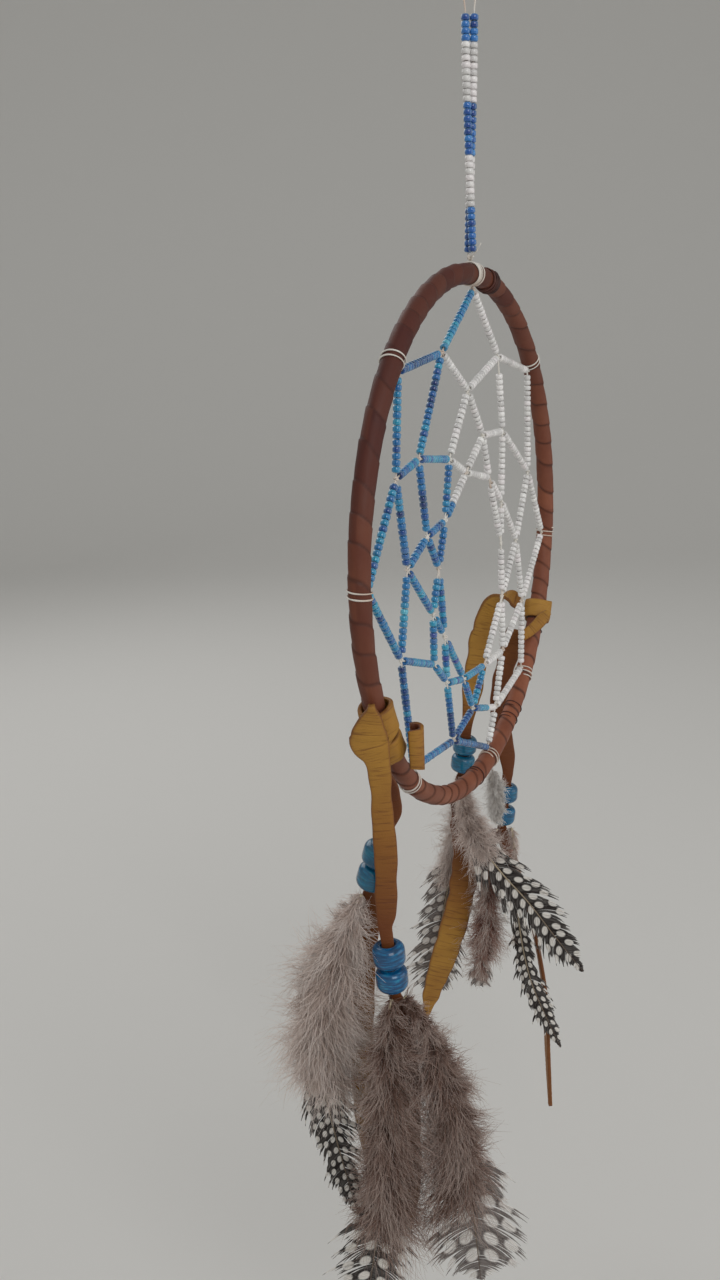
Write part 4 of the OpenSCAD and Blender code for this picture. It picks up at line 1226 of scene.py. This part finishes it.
def makeVane(name, look, shape, own):
    # flat barbs in two rows, each swept towards the tip, a barb's width a little over their spacing so
    # that the vane closes; groups cling together and part at random, and some ends come free as a fringe
    spine, run = shape["spine"], shape["run"]
    low, high = look["vaneSpan"]
    count, steps, thick = look["vaneCount"], vaneMake["steps"], vaneMake["thick"]
    parts = []
    for side in (-1.0, 1.0):
        at = np.linspace(low, high - 0.02, count) + own.normal(0, 0.0012, count)
        place = at * (len(spine) - 1)
        index = np.clip(place.astype(int), 0, len(spine) - 2)
        across, out, along = shape["across"][index], shape["out"][index], shape["along"][index]
        onward = (place - index)[:, None]
        root = spine[index] * (1 - onward) + spine[index + 1] * onward
        t = np.linspace(0, 1, count)
        clump = waves(at * 40 * side + 3 * side, 5, 0.6, 2.6, look["seed"] + int(side))
        sweep = np.radians(look["sweep"] + vaneMake["clump"] * clump + vaneMake["spread"] * t)
        half = np.interp(place, np.arange(len(spine)), shape["width"])
        lengths = (half / np.sin(np.radians(look["sweep"] + vaneMake["spread"]))
                   * (0.25 + 0.75 * vaneProfile(t)) * (1 + 0.06 * clump))
        loose = own.uniform(0, 1, count) < look["fringe"]
        lengths = lengths * np.where(loose, own.uniform(1.05, 1.35, count), own.uniform(0.9, 1.02, count))
        leave, arrive = (sweep + 0.35)[:, None], (sweep - 0.3)[:, None]
        start = unit(np.sin(leave) * side * across + np.cos(leave) * along + 0.06 * out * side)
        finish = unit(np.sin(arrive) * side * across + np.cos(arrive) * along
                      + own.normal(0, 0.05, (count, 3)) - 0.12 * out)
        lines = barbLines(root, start, finish, lengths, steps, 0.008, own)
        direction = unit(np.gradient(lines, axis=1))
        flat = unit(np.cross(out[:, None], direction))
        normal = np.cross(direction, flat)
        spacing = (run[-1] * (high - low) / count) * mm
        taper = np.clip((1.05 - np.linspace(0, 1, steps)) / 0.30, 0.14, 1)[None, :, None]
        wide = vaneMake["cover"] * spacing * taper * flat
        lift = 0.04 * mm * ((np.arange(count) % 3) - 1)[:, None, None]
        middle = lines + lift * normal
        rings = np.stack([middle + wide, middle + thick * normal,
                          middle - wide, middle - thick * normal], 2)
        part = tubes(rings)
        base = np.repeat(index, steps * 4)
        away = rings.reshape(-1, 3) - spine[base]
        u = np.einsum("ij,ij->i", away, shape["across"][base]) / mm
        v = run[base] + np.einsum("ij,ij->i", away, shape["along"][base]) / mm
        columns, rows = look["pitch"]
        part["grain"] = np.stack([u / columns + 0.5, (v - 0.45 * np.abs(u)) / rows, 0 * u], 1)
        ends = (np.clip((np.linspace(0, 1, steps) - 0.72) / 0.28, 0, 1)[None]
                * own.uniform(0.0, 0.5, (count, 1)))
        part["tone"] = np.repeat((ends + own.uniform(0, 0.14, (count, 1))).ravel(), 4)
        parts.append(part)
    makePiece(name + "Vane", parts, look["node"], look["vane"], ())


def makeFeather(name, look):
    # a tapered quill, two layers of down and a vane, all on one line
    shape = plumeShape(look["rows"], 240, 0.3 * mm, 0.2 * mm)
    own = np.random.default_rng(look["seed"])
    radius = np.interp(np.linspace(0, 1, 60), [0, 0.1, 1], [0.55, 0.42, 0.1]) * mm
    quill = roundCord(shape["spine"][::4], radius, 8)
    quill["tone"] = np.repeat(np.linspace(0, 1, 60), 8)
    makePiece(name + "Quill", [quill], look["node"], "quill", ())
    for layer in ("Down", "Fluff"):
        makeDown(name, look, layer, shape, own)
    makeVane(name, look, shape, own)


tuft = {
    "node": "web_tuft", "body": "hoop", "down": "whiteDown", "downSlot": "down", "downCount": 2400,
    "downSpan": (0.0, 0.95), "downReach": 1.7, "bias": 0.0, "seed": 71,
    "rows": [
        [0.017, -0.001, -0.228, 0.0008, 0.0006], [0.0176, -0.0014, -0.2325, 0.0028, 0.002],
        [0.018, -0.0018, -0.2385, 0.0032, 0.0022], [0.018, -0.002, -0.2455, 0.001, 0.0006],
    ],
}


def makeTuft():
    # the white tuft under the web's bottom tie
    shape = plumeShape(tuft["rows"], 60, 0.8 * mm, 0.6 * mm)
    own = np.random.default_rng(tuft["seed"])
    for layer in ("Down", "Fluff"):
        makeDown("webTuft", tuft, layer, shape, own)


makeTuft()
for plumeName, plumeLook in plumes.items():
    makeFeather(plumeName, plumeLook)
print("feathers are dressed")
